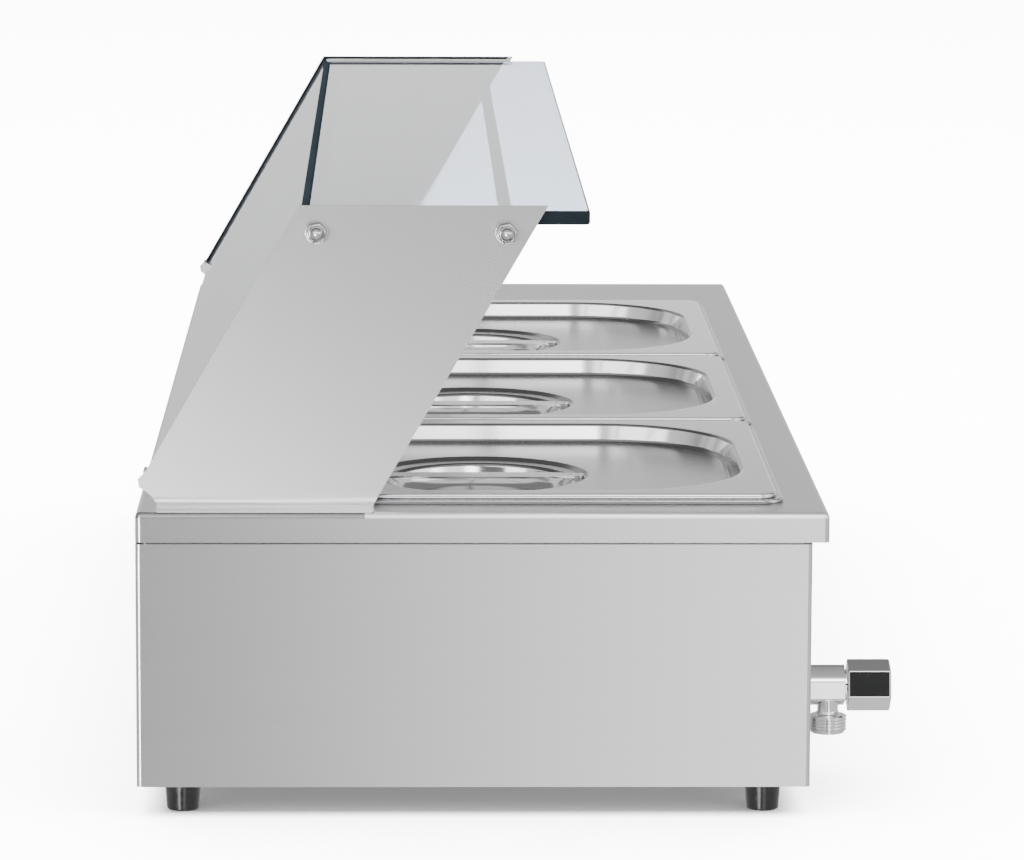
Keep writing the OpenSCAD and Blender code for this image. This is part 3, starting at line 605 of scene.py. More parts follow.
def lid_piece(i):
    """A pressed lid: raised border, sunken tray, round hand recess."""
    s = settings()
    node = f"lid_{i}"
    a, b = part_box(node)
    cx, cy, _ = middle(node)
    w, l, _ = span(node)
    t = s.pressed_sheet
    top = b[2]
    skirt = top - 2.4 * MM
    floor = top - 10.5 * MM
    tray_w, tray_l, tray_r = 291 * MM, 231 * MM, s.tray_corner
    recess = s.recess_radius
    rim_r = 10 * MM
    deep = a[2] + t

    def rim(o, z):
        return rounded_loop(cx, cy, w - 2 * o, l - 2 * o, max(rim_r - o, 1.5 * MM), z, LID_ARC)

    def tray(o, z):
        return rounded_loop(cx, cy, tray_w - 2 * o, tray_l - 2 * o, tray_r - o, z, LID_ARC)

    def disc(r, z):
        return rounded_loop(cx, cy, 2 * r, 2 * r, r, z, LID_ARC)

    def sheet(dz, wall, grow):
        """Stations of one face of the sheet, from the middle of the recess outwards."""
        bowl = rounded_path(
            [(1 * MM, deep + dz), (recess - 25 * MM, deep + 0.3 * MM + dz),
             (recess - 14 * MM, deep + 4 * MM + dz), (recess - 10.5 * MM, floor - 2.4 * MM + dz),
             (recess - 4 * MM, floor - 2.0 * MM + dz), (recess - 0.5 * MM, floor + dz),
             (recess + 4 * MM, floor + dz)],
            [24 * MM, 9 * MM + grow, 3.2 * MM + grow, 2.2 * MM, 2.6 * MM - grow / 2], 7)
        sides = rounded_path(
            [(wall + 14 * MM, floor + dz), (wall + 4.2 * MM, floor + dz), (wall, top + dz),
             (wall - 5 * MM, top + dz)],
            [4.2 * MM + grow, 2.6 * MM - grow], 9)
        return [disc(r, z) for r, z in bowl] + [tray(o, z) for o, z in sides]

    upper = sheet(0, t, 0)
    lower = sheet(-t, 0, t)
    edge = rounded_path([(8 * MM, top), (0, top), (0, skirt)], [1.1 * MM], 6)
    fold = rounded_path([(t, skirt), (t, top - t), (8 * MM, top - t)], [0.4 * MM], 4)
    loops = upper + [rim(o, z) for o, z in edge] + [rim(o, z) for o, z in fold] + list(reversed(lower))
    bm = bmesh.new()
    loft(bm, loops, cap_start=True, cap_end=True)
    bm.normal_update()
    # Tray creases take a dark steel, painted shade lines; the sunken floors take a darker copy of the lid
    # steel, painted shade.
    shade_line_slot, floor_shade_slot = 1, 2
    level = 0.975
    for face in bm.faces:
        at = face.calc_center_median()
        steep = 0.47 < abs(face.normal.z) < level
        outside_recess = math.hypot(at.x - cx, at.y - cy) > recess - 11 * MM
        inside_rim = min(at.x - a[0], b[0] - at.x, at.y - a[1], b[1] - at.y) > 3 * MM
        if steep and outside_recess and inside_rim:
            face.material_index = shade_line_slot
        elif abs(face.normal.z) > level and at.z < top - 5 * MM:
            face.material_index = floor_shade_slot
    finish_piece(f"lid_shell_{i}", bm, f"lid_{i}_body", [node],
                 [material("lid_steel"), material("painted_shade_line"), material("lid_floor_painted_shade")])


def handle_piece(i):
    """A strap handle with two weld spots in each of its ends."""
    node = f"lid_handle_{i}"
    a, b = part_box(node)
    cx, cy, _ = middle(node)
    half_l, half_w = span(node)[0] / 2, span(node)[1] / 2
    grip, tab = 38 * MM, 4.6 * MM
    outline = rounded_path(
        [(0, -half_w), (grip, -half_w), (half_l - 6 * MM, -tab), (half_l, -tab), (half_l, 0)],
        [14 * MM, 9 * MM, 4.4 * MM], 8)
    right = outline + [(x, -y) for x, y in reversed(outline[:-1])]
    full = right + [(-x, y) for x, y in reversed(right)][1:-1]
    bm = bmesh.new()
    place = Matrix.Translation((cx, cy, a[2]))
    slab(bm, full, b[2] - a[2], place)
    weld = [(1.5 * MM, 0), (1.45 * MM, 0.12 * MM), (1.1 * MM, 0.2 * MM), (0.9 * MM, 0.1 * MM)]
    for sx in (-1, 1):
        for dx in (3.2 * MM, 7.6 * MM):
            spot = Matrix.Translation((cx + sx * (half_l - dx), cy, b[2] - 0.05 * MM))
            turned(bm, weld, spot, 20)
    finish_piece(f"strap_handle_{i}", bm, f"lid_{i}_body", [node], [material("lid_steel")],
                 bevel=0.4 * MM, bevel_steps=3)


def glass_slab(bm, w, l, t, corner, arris, place):
    """A glass sheet with ground edges: faces use the first material, edges the second."""
    loops = []
    for o, z in ((arris, 0), (0.3 * arris, 0.25 * arris), (0, arris), (0, t - arris),
                 (0.3 * arris, t - 0.25 * arris), (arris, t)):
        ring = rounded_loop(0, 0, w - 2 * o, l - 2 * o, max(corner - o, 0.2 * MM), z, 8)
        loops.append([place @ Vector(p) for p in ring])
    loft(bm, loops, cap_start=True, cap_end=True)
    bm.faces.ensure_lookup_table()
    for face in bm.faces:
        face.material_index = 0 if len(face.verts) > 4 else 1


def front_glass_place():
    """The slanted glass: the place and lean of its low edge, and its height along the slope."""
    a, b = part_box("front_glass")
    set_back = 2.6 * MM
    rise = (b[2] - a[2] - FRONT_GLASS * math.sin(LEAN)) / math.cos(LEAN)
    low_edge = Vector((a[0], (a[1] + b[1]) / 2, a[2] + FRONT_GLASS * math.sin(LEAN)))
    low_edge += Vector((math.cos(LEAN), 0, -math.sin(LEAN))) * set_back
    return Matrix.Translation(low_edge) @ Matrix.Rotation(LEAN, 4, "Y"), rise


def glass_pieces():
    """Both sheets; mirror reflections leave them out, so that the lids stay clear."""
    sheets = [material("glass_face"), material("glass_edge")]
    cx, cy, _ = middle("shelf_glass")
    w, l, t = span("shelf_glass")
    bm = bmesh.new()
    glass_slab(bm, w, l, t, 4 * MM, 1.1 * MM, Matrix.Translation((cx, cy, low("shelf_glass")[2])))
    shelf = finish_piece("glass_shelf", bm, TABLE, ["shelf_glass"], sheets)
    shelf.visible_glossy = False

    lean, rise = front_glass_place()
    upright = Matrix(((0, 0, 1, 0), (0, 1, 0, 0), (1, 0, 0, rise / 2), (0, 0, 0, 1)))
    bm = bmesh.new()
    glass_slab(bm, rise, span("front_glass")[1], FRONT_GLASS, 1.5 * MM, 0.8 * MM, lean @ upright)
    front = finish_piece("glass_front", bm, TABLE, ["front_glass"], sheets)
    front.visible_glossy = False


def glass_end_shadow_piece():
    """A dark strip where the ends of the glass meet the panels: a painted shadow."""
    lean, rise = front_glass_place()
    shelf_lo, shelf_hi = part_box("shelf_glass")
    top = high("side_panel_far")[2] - 0.3 * MM
    under = top - 1.4 * MM
    front_x = shelf_lo[0] - 3 * MM
    flat = [(shelf_lo[0] + 0.5 * MM, under), (shelf_hi[0] - 27 * MM, under), (shelf_hi[0] - 26 * MM, top),
            (front_x, top), (front_x, under)]
    back, fore, reach = -1.5 * MM, 1.0 * MM, rise + 1.5 * MM
    strip = [lean @ Vector((x, 0, z)) for x, z in ((back, 0), (fore, 0), (fore, reach), (back, reach))]
    ends = ((shelf_lo[1], high("side_panel_near")[1]), (shelf_hi[1], low("side_panel_far")[1]))
    bm = bmesh.new()
    for end, face in ends:
        y0, y1 = min(end, face) - 0.3 * MM, max(end, face)
        upright = Matrix.Translation((0, y1, 0)) @ Matrix.Rotation(math.pi / 2, 4, "X")
        slab(bm, flat, y1 - y0, upright)
        slab(bm, [(p.x, p.z) for p in strip], y1 - y0, upright)
    finish_piece("glass_end_painted_shadow", bm, TABLE, [], [material("painted_shade_black")])


def nut_pieces():
    """A domed nut and a washer at both ends of both rods."""
    bm_nuts, bm_washers = bmesh.new(), bmesh.new()
    wash_lo, wash_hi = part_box("cap_washers")
    thick = 1 * MM
    height = wash_lo[1] - low("cap_nuts")[1]
    dome, dome_from, dome_steps = 4.0 * MM, 6.0 * MM, 12
    neck_r = 4.9 * MM
    hexagon = hex_outline(10 * MM, NUT_TURN)
    neck = [(neck_r * math.cos(2 * math.pi * k / 6 + NUT_TURN),
             neck_r * math.sin(2 * math.pi * k / 6 + NUT_TURN)) for k in range(6)]
    profile = [(4.4 * MM, 2 * MM), (4.4 * MM, 5.3 * MM), (dome, 5.6 * MM)]
    for k in range(dome_steps):
        turn = math.pi / 2 * k / dome_steps
        profile.append((dome * math.cos(turn), dome_from + (height - dome_from) * math.sin(turn)))
    profile.append((0.15 * MM, height))
    washer = [(3.1 * MM, 0), (6.4 * MM, 0), (6.4 * MM, 0.8 * thick), (6.1 * MM, thick), (3.1 * MM, thick)]
    for rod in ("tie_rod_front", "tie_rod_rear"):
        x, _, z = middle(rod)
        for axis, y in (("-Y", wash_lo[1]), ("+Y", wash_hi[1])):
            place = along(axis, (x, y, z))
            loops = [[place @ Vector((px, py, h)) for px, py in ring]
                     for ring, h in ((hexagon, 0), (hexagon, 4.2 * MM), (neck, 4.9 * MM))]
            loft(bm_nuts, loops, cap_start=True, cap_end=True)
            turned(bm_nuts, profile, place, 48)
            turned_ring(bm_washers, washer, place @ Matrix.Translation((0, 0, -thick)), 48)
    finish_piece("domed_nuts", bm_nuts, TABLE, ["cap_nuts"], [material("nut_steel")])
    finish_piece("flat_washers", bm_washers, TABLE, ["cap_washers"],
                 [material("steel_panel")])


def foot_pieces():
    """The four tapered feet, each a turned ring round its screw."""
    for i in range(1, 5):
        node = f"foot_{i}"
        a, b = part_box(node)
        cx, cy, _ = middle(node)
        h = b[2] - a[2]
        top_r, low_r = span(node)[0] / 2, 8.75 * MM
        outline = [(2.7 * MM, h), (top_r, h), (top_r, h - 2.2 * MM), (top_r - 0.7 * MM, h - 2.6 * MM),
                   (low_r, 0), (6 * MM, 0), (5.2 * MM, 0.8 * MM), (5.2 * MM, 7 * MM), (2.7 * MM, 7 * MM)]
        radii = [0.8 * MM, 0.5 * MM, 0.4 * MM, 1.2 * MM, 0.3 * MM, 0.3 * MM, 0.2 * MM]
        profile = rounded_path(outline, radii, 4)
        bm = bmesh.new()
        turned_ring(bm, profile, Matrix.Translation((cx, cy, a[2])), 56)
        finish_piece(f"rubber_foot_{i}", bm, TABLE, [node], [material("rubber")])


def thread_profile(r, pitch, z_low, z_high, depth):
    """Ridges of a thread, from the top down, as (radius, height) pairs."""
    points = []
    turns = int((z_high - z_low) / pitch)
    for k in range(turns):
        z = z_high - k * pitch
        points += [(r - depth, z - 0.08 * pitch), (r, z - 0.42 * pitch), (r, z - 0.58 * pitch),
                   (r - depth, z - 0.92 * pitch)]
    return points


def valve_pieces():
    """The angle valve with its threaded outlet, and its knob."""
    a = low("valve_body")
    drain_y, axis_z = middle("valve_knob")[1:]
    collar, collar_r = 1.2 * MM, 8.6 * MM
    length = low("valve_knob")[0] - a[0] - 0.3 * MM
    bm = bmesh.new()
    body = hex_outline(20.9 * MM, math.radians(6))
    slab(bm, body, length - collar, along("+X", (a[0], drain_y, axis_z)))
    bmesh.ops.bevel(bm, geom=[e for e in bm.edges if abs((e.verts[0].co - e.verts[1].co).x) > 1 * MM],
                    offset=2.2 * MM, segments=5, profile=0.5, affect="EDGES")
    turned(bm, [(collar_r, 0), (collar_r, collar)],
           along("+X", (a[0] + length - collar, drain_y, axis_z)), 48)
    outlet_x = a[0] + 14 * MM
    thread_r, neck_r, bore = 10.48 * MM, 5.75 * MM, 4.5 * MM
    top, bottom = a[2] + 10 * MM, a[2]
    neck_top = axis_z - 6 * MM
    profile = [(bore, neck_top), (neck_r + 2.2 * MM, neck_top), (neck_r, neck_top - 5.5 * MM),
               (neck_r, top + 2 * MM), (neck_r + 0.8 * MM, top + 0.6 * MM), (thread_r - 1.4 * MM, top)]
    profile = rounded_path(profile, [0, 2.5 * MM, 1.5 * MM, 0.8 * MM], 5)
    profile += thread_profile(thread_r, THREAD_PITCH, bottom + 0.7 * MM, top, 1.16 * MM)
    profile += [(thread_r - 1.3 * MM, bottom), (bore + 0.6 * MM, bottom), (bore, bottom + 0.6 * MM)]
    turned_ring(bm, profile, Matrix.Translation((outlet_x, drain_y, 0)), 72)
    finish_piece("angle_valve", bm, TABLE, ["valve_body"], [material("chrome")],
                 bevel=0.3 * MM, bevel_steps=2, crease=50)

    a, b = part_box("valve_knob")
    length = b[0] - a[0]
    bm = bmesh.new()
    chamfer = 0.8 * MM
    loops = []
    across = 24.8 * MM
    for af, h in ((across - 1.0 * MM, 0), (across, 0.5 * MM), (across, length - chamfer),
                  (across - 1.5 * MM, length)):
        loops.append([along("+X", (a[0], drain_y, axis_z)) @ Vector((x, y, h))
                      for x, y in hex_outline(af, HEX_KNOB_TURN)])
    loft(bm, loops, cap_start=True, cap_end=True)
    finish_piece("hex_knob", bm, "valve_turn", ["valve_knob"], [material("chrome")],
                 bevel=0.45 * MM, bevel_steps=3, crease=20)


def trim_plate_piece():
    a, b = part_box("control_plate")
    _, cy, cz = middle("control_plate")
    _, w, h = span("control_plate")
    t = b[0] - a[0]
    bm = bmesh.new()
    loops = []
    place = along("+X", (a[0], cy, cz))
    for o, z in ((0, 0), (0, t - 0.25 * MM), (0.25 * MM, t)):
        loops.append([place @ Vector(p) for p in rounded_loop(0, 0, h - 2 * o, w - 2 * o, 5 * MM - o, z)])
    loft(bm, loops, cap_start=True, cap_end=True)
    finish_piece("trim_plate", bm, TABLE, ["control_plate"], [material("trim_grey")])


def bar_outline(x0, x1, half):
    return [(x0, -half), (x1, -half), (x1, half), (x0, half)]


def dial_marks_piece():
    """Eleven marks over the knob's 270 degrees, every fifth one longer."""
    knob_y, knob_z = middle("thermostat_shaft")[1:]
    face = high("control_plate")[0]
    ring_r = 22.4 * MM
    bm = bmesh.new()
    for k in range(11):
        turn = math.radians(-135 + 27 * k)
        length = (3.4 if k % 5 == 0 else 2.2) * MM
        mark = along("+X", (face - 0.02 * MM, knob_y, knob_z)) @ Matrix.Rotation(turn, 4, "Z")
        mark = mark @ Matrix.Translation((-ring_r - length / 2, 0, 0))
        slab(bm, bar_outline(-length / 2, length / 2, 0.35 * MM), 0.08 * MM, mark)
    finish_piece("dial_marks", bm, TABLE, [], [material("white_mark")])


def temperature_knob_pieces():
    """The ribbed knob and the white line on its face."""
    knob_y, knob_z = middle("thermostat_shaft")[1:]
    a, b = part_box("thermostat_knob")
    depth = b[0] - a[0]
    skirt_r = 20 * MM
    grip_r = 15.6 * MM
    bm = bmesh.new()
    place = along("+X", (a[0], knob_y, knob_z))
    per_rib = 6
    steps = settings().knob_ribs * per_rib

    def ribbed(r, h, rib):
        points = []
        for k in range(steps):
            angle = 2 * math.pi * k / steps
            rr = r - rib * (0.5 - 0.5 * math.cos(2 * math.pi * k / per_rib)) ** 3
            points.append(place @ Vector((rr * math.cos(angle), rr * math.sin(angle), h)))
        return points

    stations = [(skirt_r - 0.6 * MM, 0, 0), (skirt_r, 0.6 * MM, 0), (skirt_r, 2 * MM, 0),
                (skirt_r - 1 * MM, 3 * MM, 0), (grip_r + 1.2 * MM, 3.4 * MM, 0),
                (grip_r, 4.6 * MM, 0.7 * MM), (grip_r - 0.4 * MM, depth - 3.5 * MM, 0.7 * MM),
                (grip_r - 1.2 * MM, depth - 2.2 * MM, 0.3 * MM),
                (grip_r - 2.4 * MM, depth - 1.6 * MM, 0), (grip_r - 4 * MM, depth - 1.9 * MM, 0),
                (2 * MM, depth - 2.1 * MM, 0)]
    loft(bm, [ribbed(r, h, rib) for r, h, rib in stations], cap_start=True, cap_end=True)
    finish_piece("temperature_knob", bm, "thermostat_turn", ["thermostat_knob"],
                 [material("black_plastic")])
    bm = bmesh.new()
    line = place @ Matrix.Translation((-skirt_r + 5.2 * MM, 0, depth - 2.2 * MM))
    slab(bm, bar_outline(-1.0 * MM, 9 * MM, 0.8 * MM), 0.5 * MM, line)
    finish_piece("knob_pointer", bm, "thermostat_turn", [], [material("white_mark")],
                 bevel=0.15 * MM)


def switch_frame_piece():
    """The switch's bezel, hollowed where the rocker sits."""
    a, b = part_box("switch_housing")
    _, sy, sz = middle("switch_housing")
    _, w, h = span("switch_housing")
    bm = bmesh.new()
    place = along("+X", (0, sy, sz))
    # each station: set back above and below, set back at the sides, place along X, corner radius
    stations = [(0, 0, a[0], 1.2), (0, 0, b[0] - 0.5 * MM, 1.2), (0.5, 0.5, b[0], 1.0),
                (2.2, 2.0, b[0], 0.6), (2.2, 2.0, b[0] - 6 * MM, 0.6)]
    loops = []
    for ov, oh, x, r in stations:
        hh, ww = (h - 2 * ov * MM), (w - 2 * oh * MM)
        loops.append([place @ Vector(p) for p in rounded_loop(0, 0, hh, ww, r * MM, x, 6)])
    loft(bm, loops, cap_start=True, cap_end=True)
    finish_piece("switch_frame", bm, TABLE, ["switch_housing"],
                 [material("black_plastic")])


def rocker_piece():
    """The rocker: a curved side outline as wide as its node."""
    a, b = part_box("switch_rocker")
    _, ry, rz = middle("switch_rocker")
    half, width = 7.6 * MM, b[1] - a[1]
    x0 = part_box("switch_housing")[1][0] - 1 * MM
    side = rounded_path(
        [(-2.2 * MM, 0), (-2.2 * MM, 4 * MM), (0.8 * MM, half), (2.9 * MM, half), (1.6 * MM, 0),
         (0.4 * MM, -half), (-1.7 * MM, -half), (-2.2 * MM, -4 * MM), (-2.2 * MM, 0)],
        [0.5 * MM, 0.6 * MM, 0.6 * MM, 9 * MM, 0.5 * MM, 0.4 * MM, 0.5 * MM], 5)[:-1]
    bm = bmesh.new()
    upright = Matrix.Translation((x0, ry + width / 2, rz)) @ Matrix.Rotation(math.pi / 2, 4, "X")
    slab(bm, side, width, upright)
    finish_piece("rocker", bm, "rocker_turn", ["switch_rocker"], [material("rocker_red")],
                 bevel=0.35 * MM, bevel_steps=3, crease=40)


def lamp_pieces():
    """Two lamps, each a rimmed barrel with a domed lens."""
    lens_r, lens_steps = 4.5 * MM, 8
    for node, piece, slot in (("power_lamp", "amber_lamp", "lamp_amber"),
                              ("heat_lamp", "green_lamp", "lamp_green")):
        a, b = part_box(node)
        _, ly, lz = middle(node)
        r = span(node)[1] / 2
        depth = b[0] - a[0]
        rim_x = depth - 3.5 * MM
        lens_x = rim_x + 1.5 * MM
        profile = [(3.9 * MM, 0), (3.9 * MM, rim_x), (r, rim_x), (r, rim_x + 1.1 * MM),
                   (r - 0.6 * MM, lens_x), (4.6 * MM, lens_x)]
        for k in range(1, lens_steps):
            turn = math.pi / 2 * k / lens_steps
            profile.append((lens_r * math.cos(turn), lens_x + 2 * MM * math.sin(turn)))
        profile.append((0.2 * MM, depth))
        bm = bmesh.new()
        turned(bm, profile, along("+X", (a[0], ly, lz)), 40)
        finish_piece(piece, bm, TABLE, [node], [material(slot)])


def gland_piece():
    """The cable gland: a hexagon on the wall and a fluted nut, with a hole right through."""
    cx, _, cz = middle("cord_gland")
    wall = high("top_plate")[1]
    out = high("cord_gland")[1] - wall
    place = along("+Y", (cx, wall, cz))
    steps = 60

    def fluted(r, h, rib):
        return [place @ Vector(((r - rib * (k % 5 == 0)) * math.cos(2 * math.pi * k / steps),
                                (r - rib * (k % 5 == 0)) * math.sin(2 * math.pi * k / steps), h))
                for k in range(steps)]

    # each station: radius, place along the gland, depth of the flutes
    stations = [(4 * MM, -11 * MM, 0), (7.9 * MM, -11 * MM, 0), (7.9 * MM, 5.6 * MM, 0),
                (9 * MM, 6 * MM, 0.5 * MM), (9 * MM, out - 5 * MM, 0.5 * MM),
                (8 * MM, out - 1.6 * MM, 0.2 * MM), (5.4 * MM, out, 0), (4 * MM, out - 0.6 * MM, 0)]
    bm = bmesh.new()
    slab(bm, hex_outline(20 * MM), 5.6 * MM, place)
    loft(bm, [fluted(*station) for station in stations], ring=True)
    finish_piece("cable_gland", bm, TABLE, ["cord_gland"], [material("black_plastic")],
                 bevel=0.3 * MM, crease=50)


def carried_nodes():
    """Finishes for the frame's own shapes; the side panels get their edges and foot flange apart: the far
    panel's edges a painted shade and both foot flanges a painted highlight.
    """
    flange_top = high("top_plate")[2] + 6 * MM
    for node, (finish, rounding) in CARRIED.items():
        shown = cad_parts[node]
        shown.data.materials.clear()
        shown.data.materials.append(material(finish))
        cut = node.startswith("side_panel")
        if cut:
            # The far panel's edges take a near black: painted shade.
            shown.data.materials.append(material("cut_edge" if node.endswith("near") else "painted_shade_black"))
            shown.data.materials.append(material("fold_painted_highlight"))
        for polygon in shown.data.polygons:
            normal = polygon.normal
            at_edge = abs(normal.x) > 0.3 or (abs(normal.z) > 0.8 and polygon.center.z > flange_top)
            polygon.material_index = 0
            if cut and at_edge and abs(normal.y) < 0.3:
                polygon.material_index = 1
            # The foot flange takes a lighter copy of the body steel: a painted highlight.
            elif cut and polygon.center.z < flange_top:
                polygon.material_index = 2
        smooth_edges(shown, rounding, 2, 35)


# ---- stage ----

def studio_floor():
    """A wide flat floor that mirror reflections leave out."""
    reach = 30.0
    bm = bmesh.new()
    bm.faces.new([bm.verts.new((x, y, 0.0)) for x, y in
                  ((-reach, -reach), (reach, -reach), (reach, reach), (-reach, reach))])
    mesh = bpy.data.meshes.new("studio_floor")
    bm.to_mesh(mesh)
    bm.free()
    mesh.materials.append(material("floor_paint"))
    floor = bpy.data.objects.new("studio_floor", mesh)
    bpy.context.scene.collection.objects.link(floor)
    floor.visible_glossy = False


class SkyPainter:
    """Adds soft rectangular lights and dark flags to a world's colour, by direction."""

    def __init__(self, tree, level, direction):
        self.tree, self.level, self.direction = tree, level, direction

    def math(self, operation, a, b=None):
        node = node_of(self.tree, "ShaderNodeMath", operation=operation)
        for socket, value in zip(node.inputs, (a, b)):
            if value is None:
                continue
            if isinstance(value, (int, float)):
                socket.default_value = value
            else:
                self.tree.links.new(value, socket)
        return node.outputs[0]

    def along(self, vector):
        node = node_of(self.tree, "ShaderNodeVectorMath", operation="DOT_PRODUCT")
        self.tree.links.new(self.direction, node.inputs[0])
        node.inputs[1].default_value = vector
        return node.outputs["Value"]

    def fade(self, value, start, end, first, last):
        node = node_of(self.tree, "ShaderNodeMapRange", interpolation_type="SMOOTHSTEP")
        self.tree.links.new(value, node.inputs["Value"])
        node.inputs["From Min"].default_value = start
        node.inputs["From Max"].default_value = end
        node.inputs["To Min"].default_value = first
        node.inputs["To Max"].default_value = last
        return node.outputs["Result"]

    def window(self, azimuth, elevation, half_wide, half_high, soft, tilt=0.0):
        """A soft-edged rectangle of sky; azimuth 0 is -Y and grows towards +X, in degrees."""
        a, e = math.radians(azimuth), math.radians(elevation)
        ahead = Vector((math.sin(a) * math.cos(e), -math.cos(a) * math.cos(e), math.sin(e)))
        side = Vector((math.cos(a), math.sin(a), 0.0))
        up = side.cross(ahead) * -1
        up = up if up.z >= 0 else -up
        t = math.radians(tilt)
        across = side * math.cos(t) + up * math.sin(t)
        upward = up * math.cos(t) - side * math.sin(t)
        front = self.along(ahead)
        forward = self.math("MAXIMUM", front, 0.01)
        u = self.math("ABSOLUTE", self.math("DIVIDE", self.along(across), forward))
        v = self.math("ABSOLUTE", self.math("DIVIDE", self.along(upward), forward))
        reach = math.tan(math.radians(half_wide)), math.tan(math.radians(half_high))
        edge = math.tan(math.radians(soft))
        in_u = self.fade(u, reach[0] - edge, reach[0] + edge, 1.0, 0.0)
        in_v = self.fade(v, reach[1] - edge, reach[1] + edge, 1.0, 0.0)
        facing = self.fade(front, 0.0, 0.05, 0.0, 1.0)
        return self.math("MULTIPLY", self.math("MULTIPLY", in_u, in_v), facing)

    def light(self, gain, *window, across=None):
        mask = self.window(*window)
        if across is not None:
            mask = self.math("MULTIPLY", mask, across)
        self.level = self.math("ADD", self.level, self.math("MULTIPLY", mask, gain))

    def shade(self, factor, *window):
        """Multiplies the level by a varying factor inside a window."""
        change = self.math("MULTIPLY", self.math("SUBTRACT", factor, 1.0), self.window(*window))
        self.level = self.math("MULTIPLY", self.level, self.math("ADD", change, 1.0))

    def flag(self, depth, *window):
        mask = self.math("MULTIPLY", self.window(*window), depth)
        self.level = self.math("MULTIPLY", self.level, self.math("SUBTRACT", 1.0, mask))


def surround():
    """The studio round the table, as the steel reflects it: pale walls, softboxes and dark flags."""
    world = bpy.data.worlds.new("studio_surround")
    world.use_nodes = True
    bpy.context.scene.world = world
    tree = world.node_tree
    tree.nodes.clear()
    output = node_of(tree, "ShaderNodeOutputWorld")
    background = node_of(tree, "ShaderNodeBackground")
    background.inputs["Strength"].default_value = settings().world_strength
    tree.links.new(background.outputs["Background"], output.inputs["Surface"])
    coords = node_of(tree, "ShaderNodeTexCoord")
    sky = SkyPainter(tree, None, coords.outputs["Generated"])
    height = sky.along((0.0, 0.0, 1.0))
    sky.level = sky.fade(height, -0.05, 0.10, 0.95, 1.05)
    side = sky.along((1.0, 0.0, 0.0))
    # each window: azimuth, elevation, half width, half height, softness and tilt, in degrees
    # bright wall above and behind the viewer
    sky.light(2.8, 0, 40, 58, 17, 3)
    # the viewer's side is brighter to the right
    sky.shade(sky.fade(side, -0.06, 0.10, 0.32, 3.2), 2, 0, 15, 60, 5)
    # a grey card high up on the right
    sky.shade(0.55, 27, 44, 20, 22, 7)
    # lower left wall, for the leaning panels
    sky.light(37.5, -26.2, -8, 11, 9.5, 2.5, -30.0)
    # operator's side
    sky.light(1.4, 75, 22, 22, 16, 8)
    # far wall, brightest low down
    sky.shade(sky.fade(height, 0.10, 0.19, 1.5, 0.62), 180, 10, 50, 12, 5)
    # dark ceiling beyond the row
    sky.flag(0.75, 180, 58, 62, 27, 7)
    # the dark camera, and a dark edge on the customer side
    sky.flag(0.985, 3.5, 13.5, 8, 7, 2)
    sky.flag(0.60, -95, 11, 14, 11, 4)
    tree.links.new(sky.level, background.inputs["Color"])


def soft_light(name, at, aim, size, power):
    light = bpy.data.lights.new(name, "AREA")
    light.shape = "RECTANGLE"
    light.size, light.size_y = size
    light.energy = power
    lamp = bpy.data.objects.new(name, light)
    bpy.context.scene.collection.objects.link(lamp)
    lamp.location = at
    lamp.rotation_euler = (Vector(aim) - Vector(at)).to_track_quat("-Z", "Y").to_euler()
    return lamp


def camera():
    """The view from one narrow end, a little above the plate."""
    data = bpy.data.cameras.new("view_camera")
    data.lens = 188.63
    data.sensor_width = 36.0
    data.clip_end = 60.0
    viewer = bpy.data.objects.new("view_camera", data)
    bpy.context.scene.collection.objects.link(viewer)
    yaw, pitch, roll = 0.02127, 0.15684, 0.00401
    ahead = Vector((math.sin(yaw) * math.cos(pitch), math.cos(yaw) * math.cos(pitch), -math.sin(pitch)))
    side = Vector((math.cos(yaw), -math.sin(yaw), 0.0))
    up = side.cross(ahead)
    right = side * math.cos(roll) + up * math.sin(roll)
    upward = up * math.cos(roll) - side * math.sin(roll)
    basis = Matrix((right, upward, -ahead)).transposed().to_4x4()
    basis.translation = Vector((-64.5 * MM, -3292.2 * MM, 655.2 * MM))
    viewer.matrix_world = basis
    bpy.context.scene.camera = viewer


# ---- operators ----

class STEAMTABLE_OT_stage(bpy.types.Operator):
    """Make the floor, the surround, the overhead light and the camera"""

    bl_idname = "steamtable.stage"
    bl_label = "Stage"

    def execute(self, context):
        camera()
        studio_floor()
        surround()
        power = settings().key_power * TOP_LIGHT_GAIN
        over = soft_light("top_light", (0.0, 1.0, 5.0), (0.0, 1.0, 0.0), (12.0, 13.0), power)
        over.visible_glossy = False
        return {"FINISHED"}


class STEAMTABLE_OT_plate(bpy.types.Operator):
    """Make the top plate with its folded edge and pan well"""

    bl_idname = "steamtable.plate"
    bl_label = "Top plate"

    def execute(self, context):
        plate_piece()
        return {"FINISHED"}


class STEAMTABLE_OT_pans(bpy.types.Operator):
    """Make the three food pans"""

    bl_idname = "steamtable.pans"
    bl_label = "Pans"

    def execute(self, context):
        for i in (1, 2, 3):
            pan_piece(i)
        return {"FINISHED"}


class STEAMTABLE_OT_lids(bpy.types.Operator):
    """Make the three pressed lids and their strap handles"""

    bl_idname = "steamtable.lids"
    bl_label = "Lids"

    def execute(self, context):
        for i in (1, 2, 3):
            lid_piece(i)
            handle_piece(i)
        return {"FINISHED"}


class STEAMTABLE_OT_glass(bpy.types.Operator):
    """Make the glass shelf and the slanted front glass"""

    bl_idname = "steamtable.glass"
    bl_label = "Guard glass"

    def execute(self, context):
        glass_pieces()
        glass_end_shadow_piece()
        return {"FINISHED"}


class STEAMTABLE_OT_nuts(bpy.types.Operator):
    """Make the domed nuts and washers on the tie rods"""

    bl_idname = "steamtable.nuts"
    bl_label = "Nuts and washers"

    def execute(self, context):
        nut_pieces()
        return {"FINISHED"}


class STEAMTABLE_OT_feet(bpy.types.Operator):
    """Make the four rubber feet"""

    bl_idname = "steamtable.feet"
    bl_label = "Feet"

    def execute(self, context):
        foot_pieces()
        return {"FINISHED"}


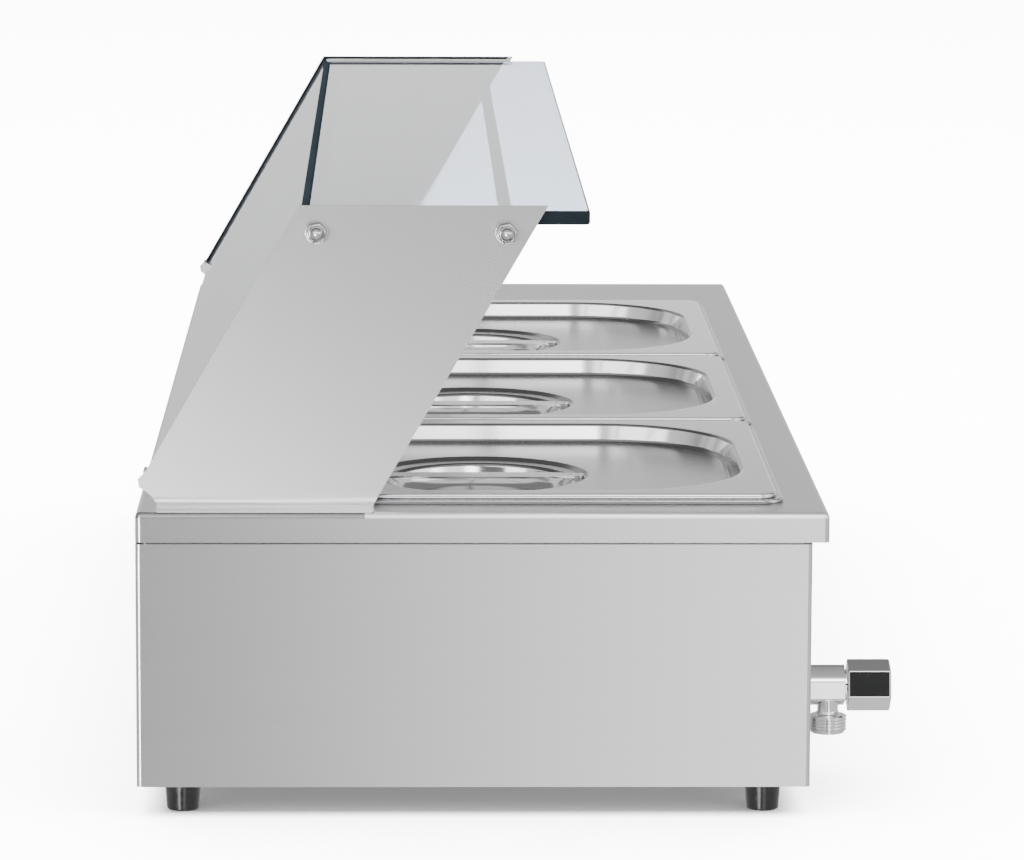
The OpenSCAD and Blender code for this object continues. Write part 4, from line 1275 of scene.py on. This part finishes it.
class STEAMTABLE_OT_valve(bpy.types.Operator):
    """Make the drain valve and its hexagonal knob"""

    bl_idname = "steamtable.valve"
    bl_label = "Drain valve"

    def execute(self, context):
        valve_pieces()
        return {"FINISHED"}


class STEAMTABLE_OT_controls(bpy.types.Operator):
    """Make the trim plate, temperature knob, switch, lamps and cable gland"""

    bl_idname = "steamtable.controls"
    bl_label = "Controls"

    def execute(self, context):
        trim_plate_piece()
        dial_marks_piece()
        temperature_knob_pieces()
        switch_frame_piece()
        rocker_piece()
        lamp_pieces()
        gland_piece()
        return {"FINISHED"}


class STEAMTABLE_OT_carried(bpy.types.Operator):
    """Give the frame's own sheet parts and inner parts their finishes"""

    bl_idname = "steamtable.carried"
    bl_label = "Sheet and inner parts"

    def execute(self, context):
        carried_nodes()
        return {"FINISHED"}


OPERATORS = (
    STEAMTABLE_OT_stage, STEAMTABLE_OT_carried, STEAMTABLE_OT_plate, STEAMTABLE_OT_pans,
    STEAMTABLE_OT_lids, STEAMTABLE_OT_glass, STEAMTABLE_OT_nuts, STEAMTABLE_OT_feet,
    STEAMTABLE_OT_valve, STEAMTABLE_OT_controls,
)


class STEAMTABLE_PT_panel(bpy.types.Panel):
    """Lists the settings and the builders of the steam table's pieces"""

    bl_label = "Steam Table"
    bl_idname = "STEAMTABLE_PT_panel"
    bl_space_type = "VIEW_3D"
    bl_region_type = "UI"
    bl_category = "Steam Table"

    def draw(self, context):
        column = self.layout.column(align=True)
        for name in SteamTableSettings.__annotations__:
            column.prop(context.scene.steam_table, name)
        column.separator()
        for operator in OPERATORS:
            column.operator(operator.bl_idname)


CLASSES = (SteamTableSettings,) + OPERATORS + (STEAMTABLE_PT_panel,)


def register():
    for cls in CLASSES:
        bpy.utils.register_class(cls)
    bpy.types.Scene.steam_table = PointerProperty(type=SteamTableSettings)


def unregister():
    del bpy.types.Scene.steam_table
    for cls in reversed(CLASSES):
        bpy.utils.unregister_class(cls)


def main():
    register()
    for operator in OPERATORS:
        group, name = operator.bl_idname.split(".")
        result = getattr(getattr(bpy.ops, group), name)()
        if result != {"FINISHED"}:
            raise RuntimeError(f"{operator.bl_idname} didn't finish")


if __name__ == "__main__":
    main()
